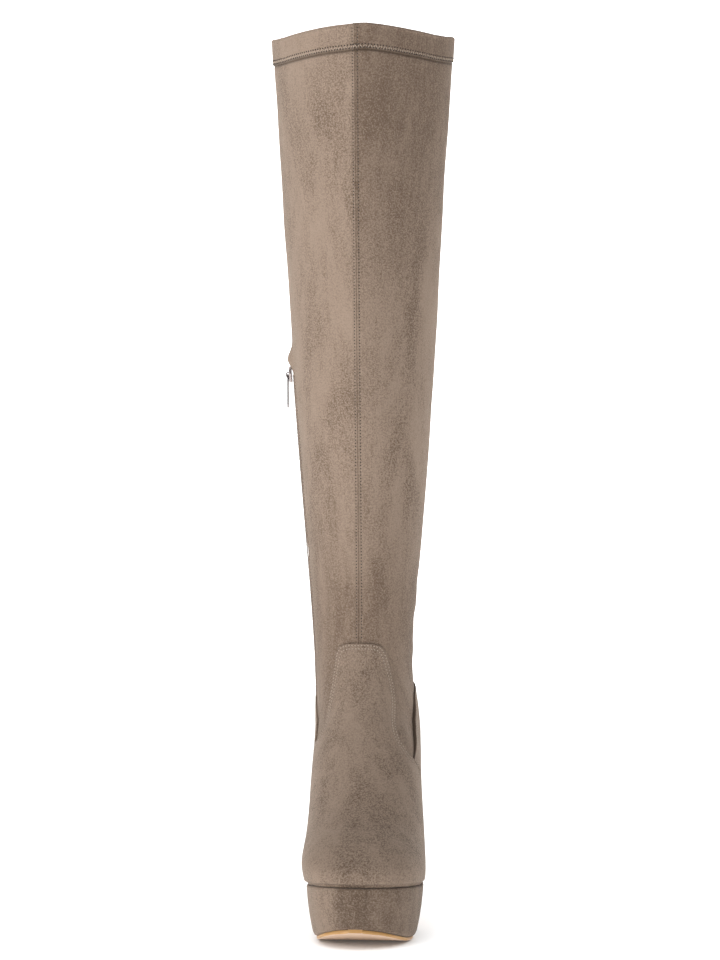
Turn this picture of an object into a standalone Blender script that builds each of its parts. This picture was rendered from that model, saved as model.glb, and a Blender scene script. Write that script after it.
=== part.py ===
"""Left thigh high boot with a platform, a covered heel and a short inside zip.

Metres, +Z up. The toe points to -Y, the outer side of the foot is +X and the zip is at -X.
The origin is the middle of the footprint box, on the floor.
"""
import math

import bmesh
import bpy
import numpy as np
from mathutils import Matrix, Vector

# Driving sizes of the leg
HEIGHT = 0.700
COLLAR_WIDTH = 0.146
COLLAR_DEPTH = 0.148
ANKLE_HEIGHT = 0.205
ANKLE_WIDTH = 0.0775
ANKLE_DEPTH = 0.094

# Driving sizes of the last
FOOT_LENGTH = 0.222
BALL_WIDTH = 0.090
SEAT_HEIGHT = 0.118
BALL_HEIGHT = 0.039
TOE_LIFT = 0.008

# Walls and clearances
WALL = 0.0018
HEM_HEIGHT = 0.0185
HEM_STEP = 0.0008
OVERLAY = 0.0012
GAP = 0.0003

# Sole, platform and heel
OUTSOLE = 0.0026
OUTSOLE_BEVEL = 0.0010
INSOLE = 0.0025
TOE_SPRING = 0.018
PLATFORM_LEDGE = 0.0010
PLATFORM_TAPER = 0.0060
RISER_INSET = 0.0010
WAIST_INSET = 0.0030
HEEL_LEDGE = 0.0004
HEEL_TIP = 0.0055
HEEL_TIP_BEVEL = 0.0006

# Zip
ZIP_WIDTH = 0.0060
ZIP_THICK = 0.0011
ZIP_CLEARANCE = 0.0006
ZIP_TOP = 0.432
ZIP_BOTTOM = 0.125
ZIP_PLACE = 0.24
SLIDER_WIDTH = 0.0085
SLIDER_LENGTH = 0.0130
SLIDER_THICK = 0.0022
SLIDER_STAND = 0.0018
BRIDGE_WIDTH = 0.0022
BRIDGE_SPAN = 0.0030
BRIDGE_THICK = 0.0009
BAR_CLEAR = 0.0004
TAB_LENGTH = 0.027
TAB_WIDTH = 0.0056
TAB_THICK = 0.0011

# Rows of the leg, from the collar down. height runs from the ankle to the collar, width and
# depth from the ankle's size to the collar's, back is a share of the collar's depth. peak is
# how far the soft shaft comes to a ridge at the front and back seams: an oval has 1.
LEG_COLUMNS = ("height", "width", "depth", "back", "peak", "rings")
LEG_ROWS = (
    (1.000, 1.000, 1.000, 0.081, 1.34, 2),
    (0.820, 0.835, 0.820, 0.063, 1.31, 2),
    (0.610, 0.640, 0.610, 0.045, 1.26, 2),
    (0.450, 0.505, 0.510, 0.056, 1.20, 2),
    (0.315, 0.365, 0.400, 0.062, 1.13, 2),
    (0.190, 0.215, 0.240, 0.040, 1.06, 2),
    (0.085, 0.085, 0.060, 0.000, 1.02, 1),
)

# Rows of the foot, from the ankle to the toe tip. Each is a slice through the last.
# sole and top are the slice's lower and upper ends along the foot (shares of its length),
# rise is the lower end's height from ball to seat, spring its share of the toe's lift,
# crown is the upper end's height from ball to ankle, width and feather are shares of the
# ball's width, belly is where along the slice it is widest, lean and ridge move its middle
# and its top sideways (shares of the ball's width), flat is 1 where the sole closes it,
# back is the angle that the sole's columns take where the slice is round.
FOOT_COLUMNS = ("sole", "rise", "spring", "top", "crown", "width", "feather", "belly",
                "lean", "ridge", "flat", "back", "rings")
FOOT_ROWS = (
    (0.018, 2.101, 0.00, 0.441, 1.000, 0.861, 0.20, 0.50, 0.000, 0.00, 0, 30, 2),
    (0.022, 1.835, 0.00, 0.445, 0.965, 0.862, 0.20, 0.50, 0.006, 0.00, 0, 27, 2),
    (0.014, 1.570, 0.00, 0.455, 0.930, 0.870, 0.20, 0.50, 0.016, 0.00, 0, 23, 2),
    (0.001, 1.315, 0.00, 0.468, 0.886, 0.890, 0.20, 0.50, 0.027, 0.00, 0, 18, 2),
    (-0.002, 1.125, 0.00, 0.483, 0.842, 0.902, 0.20, 0.50, 0.034, 0.00, 0, 14, 1),
    (0.000, 1.012, 0.00, 0.494, 0.812, 0.905, 0.20, 0.50, 0.038, 0.00, 0, 12, 1),
    (0.009, 0.997, 0.00, 0.499, 0.800, 0.905, 0.24, 0.50, 0.039, 0.00, 1, 12, 1),
    (0.027, 0.987, 0.00, 0.506, 0.784, 0.905, 0.41, 0.50, 0.041, 0.00, 1, 12, 1),
    (0.063, 0.968, 0.00, 0.520, 0.758, 0.906, 0.57, 0.49, 0.044, 0.00, 1, 12, 1),
    (0.144, 0.918, 0.00, 0.550, 0.704, 0.911, 0.665, 0.48, 0.052, 0.00, 1, 12, 2),
    (0.261, 0.785, 0.00, 0.586, 0.632, 0.920, 0.650, 0.46, 0.065, -0.01, 1, 12, 2),
    (0.378, 0.570, 0.00, 0.626, 0.560, 0.937, 0.640, 0.42, 0.080, -0.02, 1, 12, 2),
    (0.486, 0.316, 0.00, 0.667, 0.494, 0.959, 0.700, 0.36, 0.096, -0.03, 1, 12, 2),
    (0.586, 0.108, 0.00, 0.712, 0.428, 0.984, 0.830, 0.32, 0.108, -0.04, 1, 12, 2),
    (0.676, 0.013, 0.00, 0.766, 0.358, 1.000, 0.925, 0.30, 0.116, -0.05, 1, 12, 2),
    (0.766, 0.000, 0.03, 0.824, 0.301, 0.985, 0.930, 0.30, 0.116, -0.05, 1, 12, 1),
    (0.842, 0.000, 0.25, 0.883, 0.253, 0.920, 0.865, 0.32, 0.108, -0.04, 1, 12, 1),
    (0.905, 0.000, 0.55, 0.928, 0.211, 0.800, 0.735, 0.36, 0.099, -0.03, 1, 12, 1),
    (0.955, 0.000, 0.88, 0.964, 0.166, 0.600, 0.520, 0.42, 0.091, -0.02, 1, 12, 1),
    (0.984, 0.000, 1.00, 0.987, 0.133, 0.350, 0.260, 0.47, 0.086, 0.00, 1, 12, 1),
    (0.996, 0.000, 1.05, 0.997, 0.115, 0.150, 0.090, 0.50, 0.084, 0.00, 1, 12, 1),
)

# Halvings with which a place on the last is found
BISECTIONS = 30

# How many columns of points a slice has: half of the sole's, one side's, half of the top's
SOLE_HALF = 3
SIDE_STEPS = 5
TOP_STEPS = 7

# The part of the foot rows between which the upper is open underneath, and how many of the
# sole's columns the lasting margin keeps on each side
OPEN_FROM_ROW = 8
OPEN_TO_ROW = 18
MARGIN_COLUMNS = 1

# The platform's wall from its top down: how deep, and how far it has tapered in
WALL_COLUMNS = ("drop", "taper")
PLATFORM_WALL = ((0.00, 0.00), (0.25, 0.12), (0.50, 0.30), (0.75, 0.55), (0.92, 0.78),
                 (1.00, 1.00))
PLATFORM_BACK_ROW = 12.2
PLATFORM_TOE_ROW = 19
PLATFORM_BACK_FLOOR = 0.572
PLATFORM_BACK_BLEND = 0.760
SPRING_START = 0.735

# The heel from its seat down: width as a share of the seat's, and how far its back and its
# front have moved towards the toe, as shares of the foot's length
HEEL_COLUMNS = ("drop", "width", "back", "front")
HEEL_ROWS = ((0.00, 1.00, 0.000, 0.000), (0.12, 0.94, 0.002, -0.010),
             (0.30, 0.86, 0.006, -0.022), (0.60, 0.77, 0.014, -0.036),
             (1.00, 0.72, 0.022, -0.050))
HEEL_BACK_ROW = 6
HEEL_FRONT_ROW = 9.8

# Outline of the vamp seen from the front: height, and how far it reaches to the inner and the
# outer side of the centre line, as shares of the ankle's height and width
TONGUE_COLUMNS = ("height", "inner", "outer")
TONGUE_ROWS = ((1.068, 0.000, 0.000), (1.066, 0.120, 0.130), (1.056, 0.200, 0.215),
               (1.030, 0.238, 0.262), (0.970, 0.259, 0.306), (0.900, 0.278, 0.345),
               (0.850, 0.303, 0.366), (0.775, 0.322, 0.374), (0.735, 0.350, 0.392),
               (0.690, 0.432, 0.445), (0.675, 0.900, 0.475), (0.651, 0.900, 0.505),
               (0.640, 0.900, 0.900), (0.000, 0.900, 0.900))
TONGUE_BACK = 0.25

# Edge between vamp and quarter seen from each side, from the wedge's foot down: distance
# from the heel's back as a share of the foot, and height as a share of the way from the
# feather line to the ankle
EDGE_COLUMNS = ("ahead", "height")
OUTER_EDGE = ((0.505, 0.496), (0.486, 0.442), (0.468, 0.389), (0.452, 0.304), (0.444, 0.186),
              (0.442, 0.000))
INNER_EDGE = ((0.405, 0.487), (0.380, 0.398), (0.362, 0.296), (0.355, 0.183), (0.354, 0.080),
              (0.358, 0.000))

# Top line of the quarter seen from each side, from the heel's back to the vamp's edge
OUTER_TOP = ((-0.060, 0.831), (0.080, 0.802), (0.200, 0.772), (0.280, 0.741),
             (0.378, 0.581), (0.450, 0.528))
INNER_TOP = ((-0.060, 0.831), (0.080, 0.802), (0.180, 0.768), (0.250, 0.719),
             (0.300, 0.628), (0.350, 0.550))

# Half of the stretch over the middle in which one side's outline turns into the other's
SIDE_BLEND = 0.003
OVERLAY_LIFT = 0.0024
TOE_EDGE = 0.975
SOLE_EDGE_STEPS = 12

# How far the cutters of the overlays reach past them, as a share of the foot or the ankle
CUTTER_REACH = 1.2

# Where the insole's ends are, by the foot's rows
INSOLE_BACK_ROW = 7
INSOLE_TOE_ROW = 18

# Outline of the slider's body: across as a share of its half width, up of its half length
SLIDER_COLUMNS = ("across", "up")
SLIDER_ROWS = ((0.62, -1.00), (1.00, 0.10), (1.00, 0.75), (0.70, 1.00))
SLIDER_BEVEL = 0.0005

# The bridge's foot as a share of the slider's thickness, its crown's flat as a share of its
# half span, outside and inside, and how round its inner corners are
BRIDGE_FOOT = 0.5
BRIDGE_CROWN = (0.6, 0.5)
BRIDGE_CORNER = 0.0004

# Outline of the pull tab and of its window, as shares of their half widths
TAB_HEAD = 0.80
TAB_TOE = 0.50
TAB_WAIST = 0.86
WINDOW_HEAD = 0.80
WINDOW_TOE = 0.50
WINDOW_WAIST = 0.94
BAR_ROUND = 0.00088

COLOURS = {
    "suede": (0.245, 0.190, 0.150, 1.0),
    "suede_dark": (0.205, 0.155, 0.120, 1.0),
    "tan_sole": (0.560, 0.330, 0.150, 1.0),
    "lining": (0.330, 0.270, 0.220, 1.0),
    "rubber": (0.035, 0.032, 0.030, 1.0),
    "zip_tape": (0.190, 0.150, 0.120, 1.0),
    "nickel": (0.600, 0.570, 0.550, 1.0),
}


def clear_scene():
    for item in list(bpy.data.objects):
        bpy.data.objects.remove(item, do_unlink=True)


def material(name, colour, roughness, metallic=0.0):
    made = bpy.data.materials.new(name)
    made.use_nodes = True
    shader = made.node_tree.nodes["Principled BSDF"]
    shader.inputs["Base Color"].default_value = COLOURS[colour]
    shader.inputs["Roughness"].default_value = roughness
    shader.inputs["Metallic"].default_value = metallic
    made.diffuse_color = COLOURS[colour]
    return made


def mix(low, high, share):
    return low + (high - low) * share


def slice_rows():
    """All slices in one list of dictionaries, collar first, with real lengths in metres."""
    rows = []
    for values in LEG_ROWS:
        row = dict(zip(LEG_COLUMNS, values))
        height = mix(ANKLE_HEIGHT, HEIGHT, row["height"])
        depth = mix(ANKLE_DEPTH, COLLAR_DEPTH, row["depth"])
        back = row["back"] * COLLAR_DEPTH
        rows.append({
            "sole_y": back, "sole_z": height, "top_y": back - depth, "top_z": height,
            "width": mix(ANKLE_WIDTH, COLLAR_WIDTH, row["width"]), "feather": 0.0,
            "belly": 0.5, "lean": 0.0, "ridge": 0.0, "flat": 0.0, "back": 30.0,
            "peak": row["peak"], "rings": row["rings"]})
    for values in FOOT_ROWS:
        row = dict(zip(FOOT_COLUMNS, values))
        rows.append({
            "sole_y": -row["sole"] * FOOT_LENGTH,
            "sole_z": mix(BALL_HEIGHT, SEAT_HEIGHT, row["rise"]) + row["spring"] * TOE_LIFT,
            "top_y": -row["top"] * FOOT_LENGTH,
            "top_z": mix(BALL_HEIGHT, ANKLE_HEIGHT, row["crown"]),
            "width": row["width"] * BALL_WIDTH, "feather": row["feather"] * BALL_WIDTH,
            "belly": row["belly"], "lean": row["lean"] * BALL_WIDTH,
            "ridge": row["ridge"] * BALL_WIDTH, "flat": float(row["flat"]),
            "back": float(row["back"]), "peak": 1.0, "rings": row["rings"]})
    return rows


ROWS = slice_rows()
FIRST_FOOT_ROW = len(LEG_ROWS)
LAST_ROW = len(ROWS) - 1


def foot_row(index):
    """Place in ROWS of a row of the foot's table."""
    return FIRST_FOOT_ROW + index


def slice_at(place):
    """Slice at a place between two rows, on a smooth curve through the rows."""
    place = min(max(place, 0.0), float(LAST_ROW))
    start = min(int(place), LAST_ROW - 1)
    t = place - start
    near = [ROWS[min(max(start + step, 0), LAST_ROW)] for step in (-1, 0, 1, 2)]
    found = {}
    for key in ROWS[0]:
        a, b, c, d = (row[key] for row in near)
        found[key] = 0.5 * (2 * b + (c - a) * t + (2 * a - 5 * b + 4 * c - d) * t ** 2
                            + (3 * b - a - 3 * c + d) * t ** 3)
    found["flat"] = min(max(found["flat"], 0.0), 1.0)
    return found


def column_table():
    """Columns round a slice, from the middle of the sole over the outer side and back.

    Each is its side, its zone and how far through the zone it lies.
    """
    half = [("sole", step / SOLE_HALF) for step in range(1, SOLE_HALF + 1)]
    half += [("side", step / SIDE_STEPS) for step in range(1, SIDE_STEPS + 1)]
    half += [("top", step / TOP_STEPS) for step in range(1, TOP_STEPS)]
    columns = [(1, "sole", 0.0)]
    columns += [(1, zone, share) for zone, share in half]
    columns += [(1, "top", 1.0)]
    columns += [(-1, zone, share) for zone, share in reversed(half)]
    return columns


COLUMNS = column_table()


def slice_point(section, column):
    """Point of one slice: how far sideways, and how far along from sole to top."""
    side, zone, share = column
    half_width = section["width"] / 2
    feather = section["feather"] / 2
    belly = section["belly"]
    peak = section["peak"]
    corner = math.radians(section["back"])
    quarter = math.pi / 2
    if zone == "top":
        angle = share * quarter
        across = half_width * math.cos(angle) ** peak
        along = belly + (1 - belly) * math.sin(angle) ** peak
    else:
        if zone == "sole":
            round_angle = share * corner
            flat_across = feather * share
            flat_along = 0.0
        else:
            round_angle = mix(corner, quarter, share)
            flat_across = feather + (half_width - feather) * math.sin(share * quarter)
            flat_along = belly * (1 - math.cos(share * quarter))
        round_across = half_width * math.sin(round_angle) ** peak
        round_along = belly * (1 - math.cos(round_angle) ** peak)
        across = mix(round_across, flat_across, section["flat"])
        along = mix(round_along, flat_along, section["flat"])
    return side * across, along


def surface_point(place, column):
    section = slice_at(place)
    across, along = slice_point(section, column)
    return Vector((section["lean"] + section["ridge"] * along + across,
                   mix(section["sole_y"], section["top_y"], along),
                   mix(section["sole_z"], section["top_z"], along)))


def ring_places():
    """Places of the rings, from collar to toe, with the hem's step as (place, on the hem)."""
    leg_drop = ROWS[0]["sole_z"] - ROWS[1]["sole_z"]
    hem_place = 0.0
    while slice_at(hem_place)["sole_z"] > HEIGHT - HEM_HEIGHT:
        hem_place += HEM_STEP / leg_drop
    places = [(0.0, True), (hem_place, True), (hem_place + HEM_STEP / leg_drop, False)]
    for index in range(LAST_ROW):
        rings = ROWS[index]["rings"]
        for step in range(rings):
            place = index + step / rings
            if place > hem_place + 0.1:
                places.append((place, False))
    places.append((float(LAST_ROW), False))
    return places


RINGS = ring_places()


def surface_grid(places):
    """Points and outward normals of the last's surface on a grid of rings and columns."""
    grid = np.array([[surface_point(place, column)[:] for column in COLUMNS]
                     for place in places])
    round_step = np.roll(grid, -1, axis=1) - np.roll(grid, 1, axis=1)
    down_step = np.gradient(grid, axis=0)
    normals = np.cross(round_step, down_step)
    normals /= np.linalg.norm(normals, axis=2, keepdims=True)
    centre = grid.mean(axis=1, keepdims=True)
    outward = np.sum(normals * (grid - centre), axis=2).mean()
    if outward < 0:
        normals = -normals
    return grid, normals


def skin(bm, grid, normals, offsets):
    """Add one offset copy of the grid's points and return them as rows of vertices."""
    return [[bm.verts.new(grid[r][c] + normals[r][c] * offsets[r])
             for c in range(len(COLUMNS))] for r in range(len(grid))]


def finish_mesh(name, bm, made_of, smooth_angle=40.0):
    bmesh.ops.recalc_face_normals(bm, faces=bm.faces[:])
    mesh = bpy.data.meshes.new(name)
    bm.to_mesh(mesh)
    bm.free()
    mesh.shade_smooth()
    mesh.set_sharp_from_angle(angle=math.radians(smooth_angle))
    item = bpy.data.objects.new(name, mesh)
    bpy.context.scene.collection.objects.link(item)
    if made_of is not None:
        mesh.materials.append(made_of)
    return item


def is_open(ring, column, places):
    """Whether the patch after this ring and column lies in the opening underneath."""
    inside_rows = foot_row(OPEN_FROM_ROW) <= places[ring] < foot_row(OPEN_TO_ROW)
    kept = SOLE_HALF - MARGIN_COLUMNS
    right = column < kept
    left = column >= len(COLUMNS) - kept
    return inside_rows and (right or left)


def last_shell(name, made_of, places, outer, inner, open_under=False):
    """Hollow solid between two offsets of the last's surface, open at its first ring.

    Each patch is split along the same diagonal in every skin, so that shells nest.
    """
    grid, normals = surface_grid(places)
    count = len(COLUMNS)
    bm = bmesh.new()
    skins = [skin(bm, grid, normals, outer), skin(bm, grid, normals, inner)]
    for ring in range(len(places) - 1):
        for c in range(count):
            n = (c + 1) % count
            if open_under and is_open(ring, c, places):
                continue
            for verts in skins:
                bm.faces.new((verts[ring][c], verts[ring][n], verts[ring + 1][n]))
                bm.faces.new((verts[ring][c], verts[ring + 1][n], verts[ring + 1][c]))
    for verts in skins:
        bm.faces.new(verts[-1])
    for c in range(count):
        n = (c + 1) % count
        bm.faces.new((skins[0][0][c], skins[0][0][n], skins[1][0][n], skins[1][0][c]))
    if open_under:
        for (ring_a, col_a), (ring_b, col_b) in opening_rim(places):
            bm.faces.new((skins[0][ring_a][col_a], skins[0][ring_b][col_b],
                          skins[1][ring_b][col_b], skins[1][ring_a][col_a]))
    return finish_mesh(name, bm, made_of)


def opening_rim(places):
    """Edges of the grid that bound the opening underneath."""
    count = len(COLUMNS)
    used = {}
    for ring in range(len(places) - 1):
        for c in range(count):
            if not is_open(ring, c, places):
                continue
            n = (c + 1) % count
            corners = [(ring, c), (ring, n), (ring + 1, n), (ring + 1, c)]
            for a, b in zip(corners, corners[1:] + corners[:1]):
                key = tuple(sorted((a, b)))
                used[key] = used.get(key, 0) + 1
    return [edge for edge, times in used.items() if times == 1]


def stacked_loops(name, made_of, levels, smooth_angle=40.0):
    """Closed solid through levels of paired points, each level a list of (right, left)."""
    bm = bmesh.new()
    rows = [[(bm.verts.new(right), bm.verts.new(left)) for right, left in level]
            for level in levels]
    for upper, lower in zip(rows, rows[1:]):
        loop_a = [pair[0] for pair in upper] + [pair[1] for pair in reversed(upper)]
        loop_b = [pair[0] for pair in lower] + [pair[1] for pair in reversed(lower)]
        for k in range(len(loop_a)):
            n = (k + 1) % len(loop_a)
            bm.faces.new((loop_a[k], loop_a[n], loop_b[n], loop_b[k]))
    for cap in (rows[0], rows[-1]):
        for first, second in zip(cap, cap[1:]):
            bm.faces.new((first[0], second[0], second[1], first[1]))
    return finish_mesh(name, bm, made_of, smooth_angle)


def feather_pairs(places, outset, round_back=True, round_front=True):
    """Pairs (right, left) of points on the feather line, moved outwards in plan by outset.

    A moved point keeps to the slope of the last's underside. An end that isn't round is cut
    straight across.
    """
    sections = [slice_at(place) for place in places]
    half = len(sections)
    slopes = []
    for k in range(half):
        before = sections[max(k - 1, 0)]
        after = sections[min(k + 1, half - 1)]
        slopes.append((after["sole_z"] - before["sole_z"])
                      / (after["sole_y"] - before["sole_y"]))
    rights = [Vector((s["lean"] + s["feather"] / 2, s["sole_y"])) for s in sections]
    lefts = [Vector((s["lean"] - s["feather"] / 2, s["sole_y"])) for s in sections]
    loop = rights + lefts[::-1]
    ends = {0: round_back, 2 * half - 1: round_back, half - 1: round_front, half: round_front}
    moved = []
    for k, point in enumerate(loop):
        before = loop[k - 1]
        after = loop[(k + 1) % (2 * half)]
        if not ends.get(k, True):
            if k in (0, half):
                before = point
            else:
                after = point
        step = after - before
        move = Vector((-step.y, step.x)).normalized() * outset
        row = min(k, 2 * half - 1 - k)
        height = sections[row]["sole_z"] + move.y * slopes[row]
        moved.append(Vector((point.x + move.x, point.y + move.y, height)))
    return [(moved[k], moved[2 * half - 1 - k]) for k in range(half)]


def sole_places(first, last):
    """Places of the rings between two rows of the foot's table, both included."""
    low = foot_row(first)
    high = foot_row(last)
    return [low] + [place for place, _ in RINGS if low < place < high] + [high]


def floor_height(y):
    """Height of the outsole's underside over the floor: flat, then the toe's spring."""
    start = -SPRING_START * FOOT_LENGTH
    share = max(0.0, (start - y) / (start + FOOT_LENGTH))
    return TOE_SPRING * share ** 2


def platform_levels():
    """Levels of paired points from the platform's top to its underside, back end first."""
    places = sole_places(PLATFORM_BACK_ROW, PLATFORM_TOE_ROW)
    top_back = slice_at(places[0])["sole_y"]
    floor_back = -PLATFORM_BACK_FLOOR * FOOT_LENGTH
    blend = -PLATFORM_BACK_BLEND * FOOT_LENGTH
    levels = []
    for values in PLATFORM_WALL:
        row = dict(zip(WALL_COLUMNS, values))
        drop = row["drop"]
        level = []
        outset = PLATFORM_LEDGE - row["taper"] * PLATFORM_TAPER
        for pair in feather_pairs(places, outset, round_back=False):
            lowered = []
            for point in pair:
                share = max(0.0, (point.y - blend) / (top_back - blend))
                y = point.y + (floor_back - top_back) * share * drop
                z = mix(point.z - GAP, floor_height(y) + OUTSOLE + GAP, drop)
                lowered.append(Vector((point.x, y, z)))
            level.append(tuple(lowered))
        levels.append(level)
    return levels


def make_platform(suede):
    return stacked_loops("platform", suede, platform_levels())


def profile_normals(pairs):
    """Unit normals of a run of paired points, in the profile's plane, away from the foot."""
    middles = [(right + left) / 2 for right, left in pairs]
    normals = []
    for k in range(len(middles)):
        step = middles[min(k + 1, len(middles) - 1)] - middles[max(k - 1, 0)]
        normals.append(Vector((0.0, step.z, -step.y)).normalized())
    return normals


def moved_pairs(pairs, normals, distance, inset=0.0):
    """Pairs of points moved along their normals, and inwards by inset."""
    moved = []
    for (right, left), normal in zip(pairs, normals):
        inwards = (left - right).normalized() * inset
        moved.append((right + normal * distance + inwards, left + normal * distance - inwards))
    return moved


def make_outsole(tan):
    """Thin sole: under the platform from the toe, up its back, then along the waist."""
    levels = platform_levels()
    covered = levels[-1][::-1]
    riser = [level[0] for level in levels[-2::-1]]
    covered += moved_pairs(riser, [Vector()] * len(riser), 0.0, RISER_INSET)
    waist_places = sole_places(HEEL_FRONT_ROW, PLATFORM_BACK_ROW)[:-1]
    heel_front = foot_row(HEEL_FRONT_ROW)
    seat_step = slice_at(heel_front)["sole_y"] - slice_at(heel_front + 1)["sole_y"]
    waist_places[0] += 2 * GAP / seat_step
    covered += reversed(feather_pairs(waist_places, -WAIST_INSET, False, False))
    normals = profile_normals(covered)
    normals[-1] = Vector((0.0, 0.0, -1.0))
    upper_face = moved_pairs(covered, normals, GAP)
    lower_face = moved_pairs(covered, normals, GAP + OUTSOLE, OUTSOLE_BEVEL)
    return stacked_loops("outsole", tan, [upper_face, lower_face])


def heel_levels():
    """Levels of paired points from the heel's seat down to its top piece, back end first."""
    places = sole_places(HEEL_BACK_ROW, HEEL_FRONT_ROW)
    seat = feather_pairs(places, HEEL_LEDGE, round_front=False)
    seat_back = seat[0][0].y
    seat_front = seat[-1][0].y
    middle = slice_at(places[0])["lean"]
    levels = []
    low = HEEL_TIP + GAP
    for values in HEEL_ROWS:
        row = dict(zip(HEEL_COLUMNS, values))
        drop = row["drop"]
        level = []
        for right, left in seat:
            share = (right.y - seat_back) / (seat_front - seat_back)
            move = Vector((0.0, -mix(row["back"], row["front"], share) * FOOT_LENGTH))
            centre = mix((right.x + left.x) / 2, middle, drop)
            reach = (right.x - left.x) / 2 * row["width"]
            level.append((Vector((centre + reach, right.y + move.y,
                                  mix(right.z - GAP, low, drop))),
                          Vector((centre - reach, left.y + move.y,
                                  mix(left.z - GAP, low, drop)))))
        levels.append(level)
    return levels


def make_heel(suede):
    return stacked_loops("heel", suede, heel_levels())


def make_heel_tip(rubber):
    outline = heel_levels()[-1]
    down = [Vector((0.0, 0.0, -1.0))] * len(outline)
    upper_face = moved_pairs(outline, down, GAP)
    lower_face = moved_pairs(outline, down, GAP + HEEL_TIP, HEEL_TIP_BEVEL)
    return stacked_loops("heel_tip", rubber, [upper_face, lower_face])


def make_insole(lining):
    """Insole board and sock, lying on the lasting margin inside the upper."""
    places = sole_places(INSOLE_BACK_ROW, INSOLE_TOE_ROW)
    lying = feather_pairs(places, -WALL - GAP)
    up = [-normal for normal in profile_normals(lying[::-1])[::-1]]
    lower_face = moved_pairs(lying, up, WALL + GAP)
    upper_face = moved_pairs(lying, up, WALL + GAP + INSOLE)
    return stacked_loops("insole", lining, [upper_face, lower_face])


def make_upper(suede):
    places = [place for place, _ in RINGS]
    outer = [HEM_STEP if on_hem else 0.0 for _, on_hem in RINGS]
    inner = [-WALL] * len(places)
    return last_shell("upper", suede, places, outer, inner, open_under=True)


def prism(name, sections, axis):
    """Closed guide through sections, each a reach and an outline of as many points.

    Axis 0 takes (y, z) points, axis 1 takes (x, z) points.
    """
    bm = bmesh.new()
    rings = []
    for reach, outline in sections:
        points = [(reach, a, b) if axis == 0 else (a, reach, b) for a, b in outline]
        rings.append([bm.verts.new(point) for point in points])
    for near, far in zip(rings, rings[1:]):
        for k in range(len(near)):
            n = (k + 1) % len(near)
            bm.faces.new((near[k], near[n], far[n]))
            bm.faces.new((near[k], far[n], far[k]))
    bm.faces.new(rings[0])
    bm.faces.new(rings[-1])
    guide = finish_mesh(name, bm, None)
    guide.hide_render = True
    guide.display_type = "WIRE"
    return guide


def two_sided(inner_outline, outer_outline):
    """Sections of a cutter whose outline differs between the inner and the outer side."""
    return [(-BALL_WIDTH, inner_outline), (-SIDE_BLEND, inner_outline),
            (SIDE_BLEND, outer_outline), (BALL_WIDTH, outer_outline)]


def boolean(item, other, operation):
    cut = item.modifiers.new(operation.title() + " " + other.name, "BOOLEAN")
    cut.operation = operation
    cut.object = other


def sole_height_at(y):
    """Height of the last's underside at a distance along the foot."""
    low = foot_row(HEEL_BACK_ROW)
    high = float(LAST_ROW)
    for _ in range(BISECTIONS):
        middle = (low + high) / 2
        if slice_at(middle)["sole_y"] > y:
            low = middle
        else:
            high = middle
    return slice_at(low)["sole_z"]


def side_line(table):
    """Points (y, z) in the side view of a line that a table gives in shares."""
    points = []
    for values in table:
        row = dict(zip(EDGE_COLUMNS, values))
        y = -row["ahead"] * FOOT_LENGTH
        low = sole_height_at(y) + OVERLAY_LIFT
        points.append((y, mix(low, ANKLE_HEIGHT, row["height"])))
    return points


def sole_edge(y_from, y_to, steps):
    """Lower edge of the overlays in the side view, just over the feather line."""
    points = []
    for k in range(steps + 1):
        y = mix(y_from, y_to, k / steps)
        points.append((y, sole_height_at(y) + OVERLAY_LIFT))
    return points


def overlay_shell(name, made_of, first_place):
    places = [place for place, _ in RINGS if place >= first_place]
    outer = [GAP + OVERLAY] * len(places)
    inner = [GAP] * len(places)
    return last_shell(name, made_of, places, outer, inner)


def vamp_outline(table):
    """Outline of the vamp seen from one side."""
    edge = side_line(table)
    toe_y = -TOE_EDGE * FOOT_LENGTH
    front_y = -CUTTER_REACH * FOOT_LENGTH
    back_y = -TONGUE_BACK * FOOT_LENGTH
    top_z = CUTTER_REACH * ANKLE_HEIGHT
    toe_z = sole_height_at(toe_y) + OVERLAY_LIFT
    outline = edge + sole_edge(edge[-1][0], toe_y, SOLE_EDGE_STEPS)[1:]
    return outline + [(front_y, toe_z), (front_y, top_z), (back_y, top_z),
                      (back_y, edge[0][1])]


def make_vamp(suede):
    """Front overlay, cut from the upper's own form by its front and side outlines."""
    vamp = overlay_shell("vamp", suede, FIRST_FOOT_ROW - 1)
    outlines = two_sided(vamp_outline(INNER_EDGE), vamp_outline(OUTER_EDGE))
    side_cut = prism("vamp_side_cut", outlines, 0)
    tongue = [dict(zip(TONGUE_COLUMNS, values)) for values in TONGUE_ROWS]
    inner_side = [(-row["inner"] * ANKLE_WIDTH, row["height"] * ANKLE_HEIGHT)
                  for row in tongue]
    outer_side = [(row["outer"] * ANKLE_WIDTH, row["height"] * ANKLE_HEIGHT)
                  for row in tongue]
    front_outline = inner_side[::-1] + outer_side[1:]
    front_y = -CUTTER_REACH * FOOT_LENGTH
    front_cut = prism("vamp_front_cut", [(front_y, front_outline), (0.0, front_outline)], 1)
    boolean(vamp, side_cut, "INTERSECT")
    boolean(vamp, front_cut, "INTERSECT")
    return vamp


def quarter_outline(table, top_table):
    """Outline of the quarter seen from one side."""
    edge = [(y + GAP, z) for y, z in side_line(table)]
    top_line = side_line(top_table)
    heel_y = slice_at(foot_row(HEEL_BACK_ROW))["sole_y"]
    outline = top_line + edge + sole_edge(edge[-1][0], heel_y, SOLE_EDGE_STEPS)[1:]
    return outline + [(top_line[0][0], outline[-1][1])]


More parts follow.
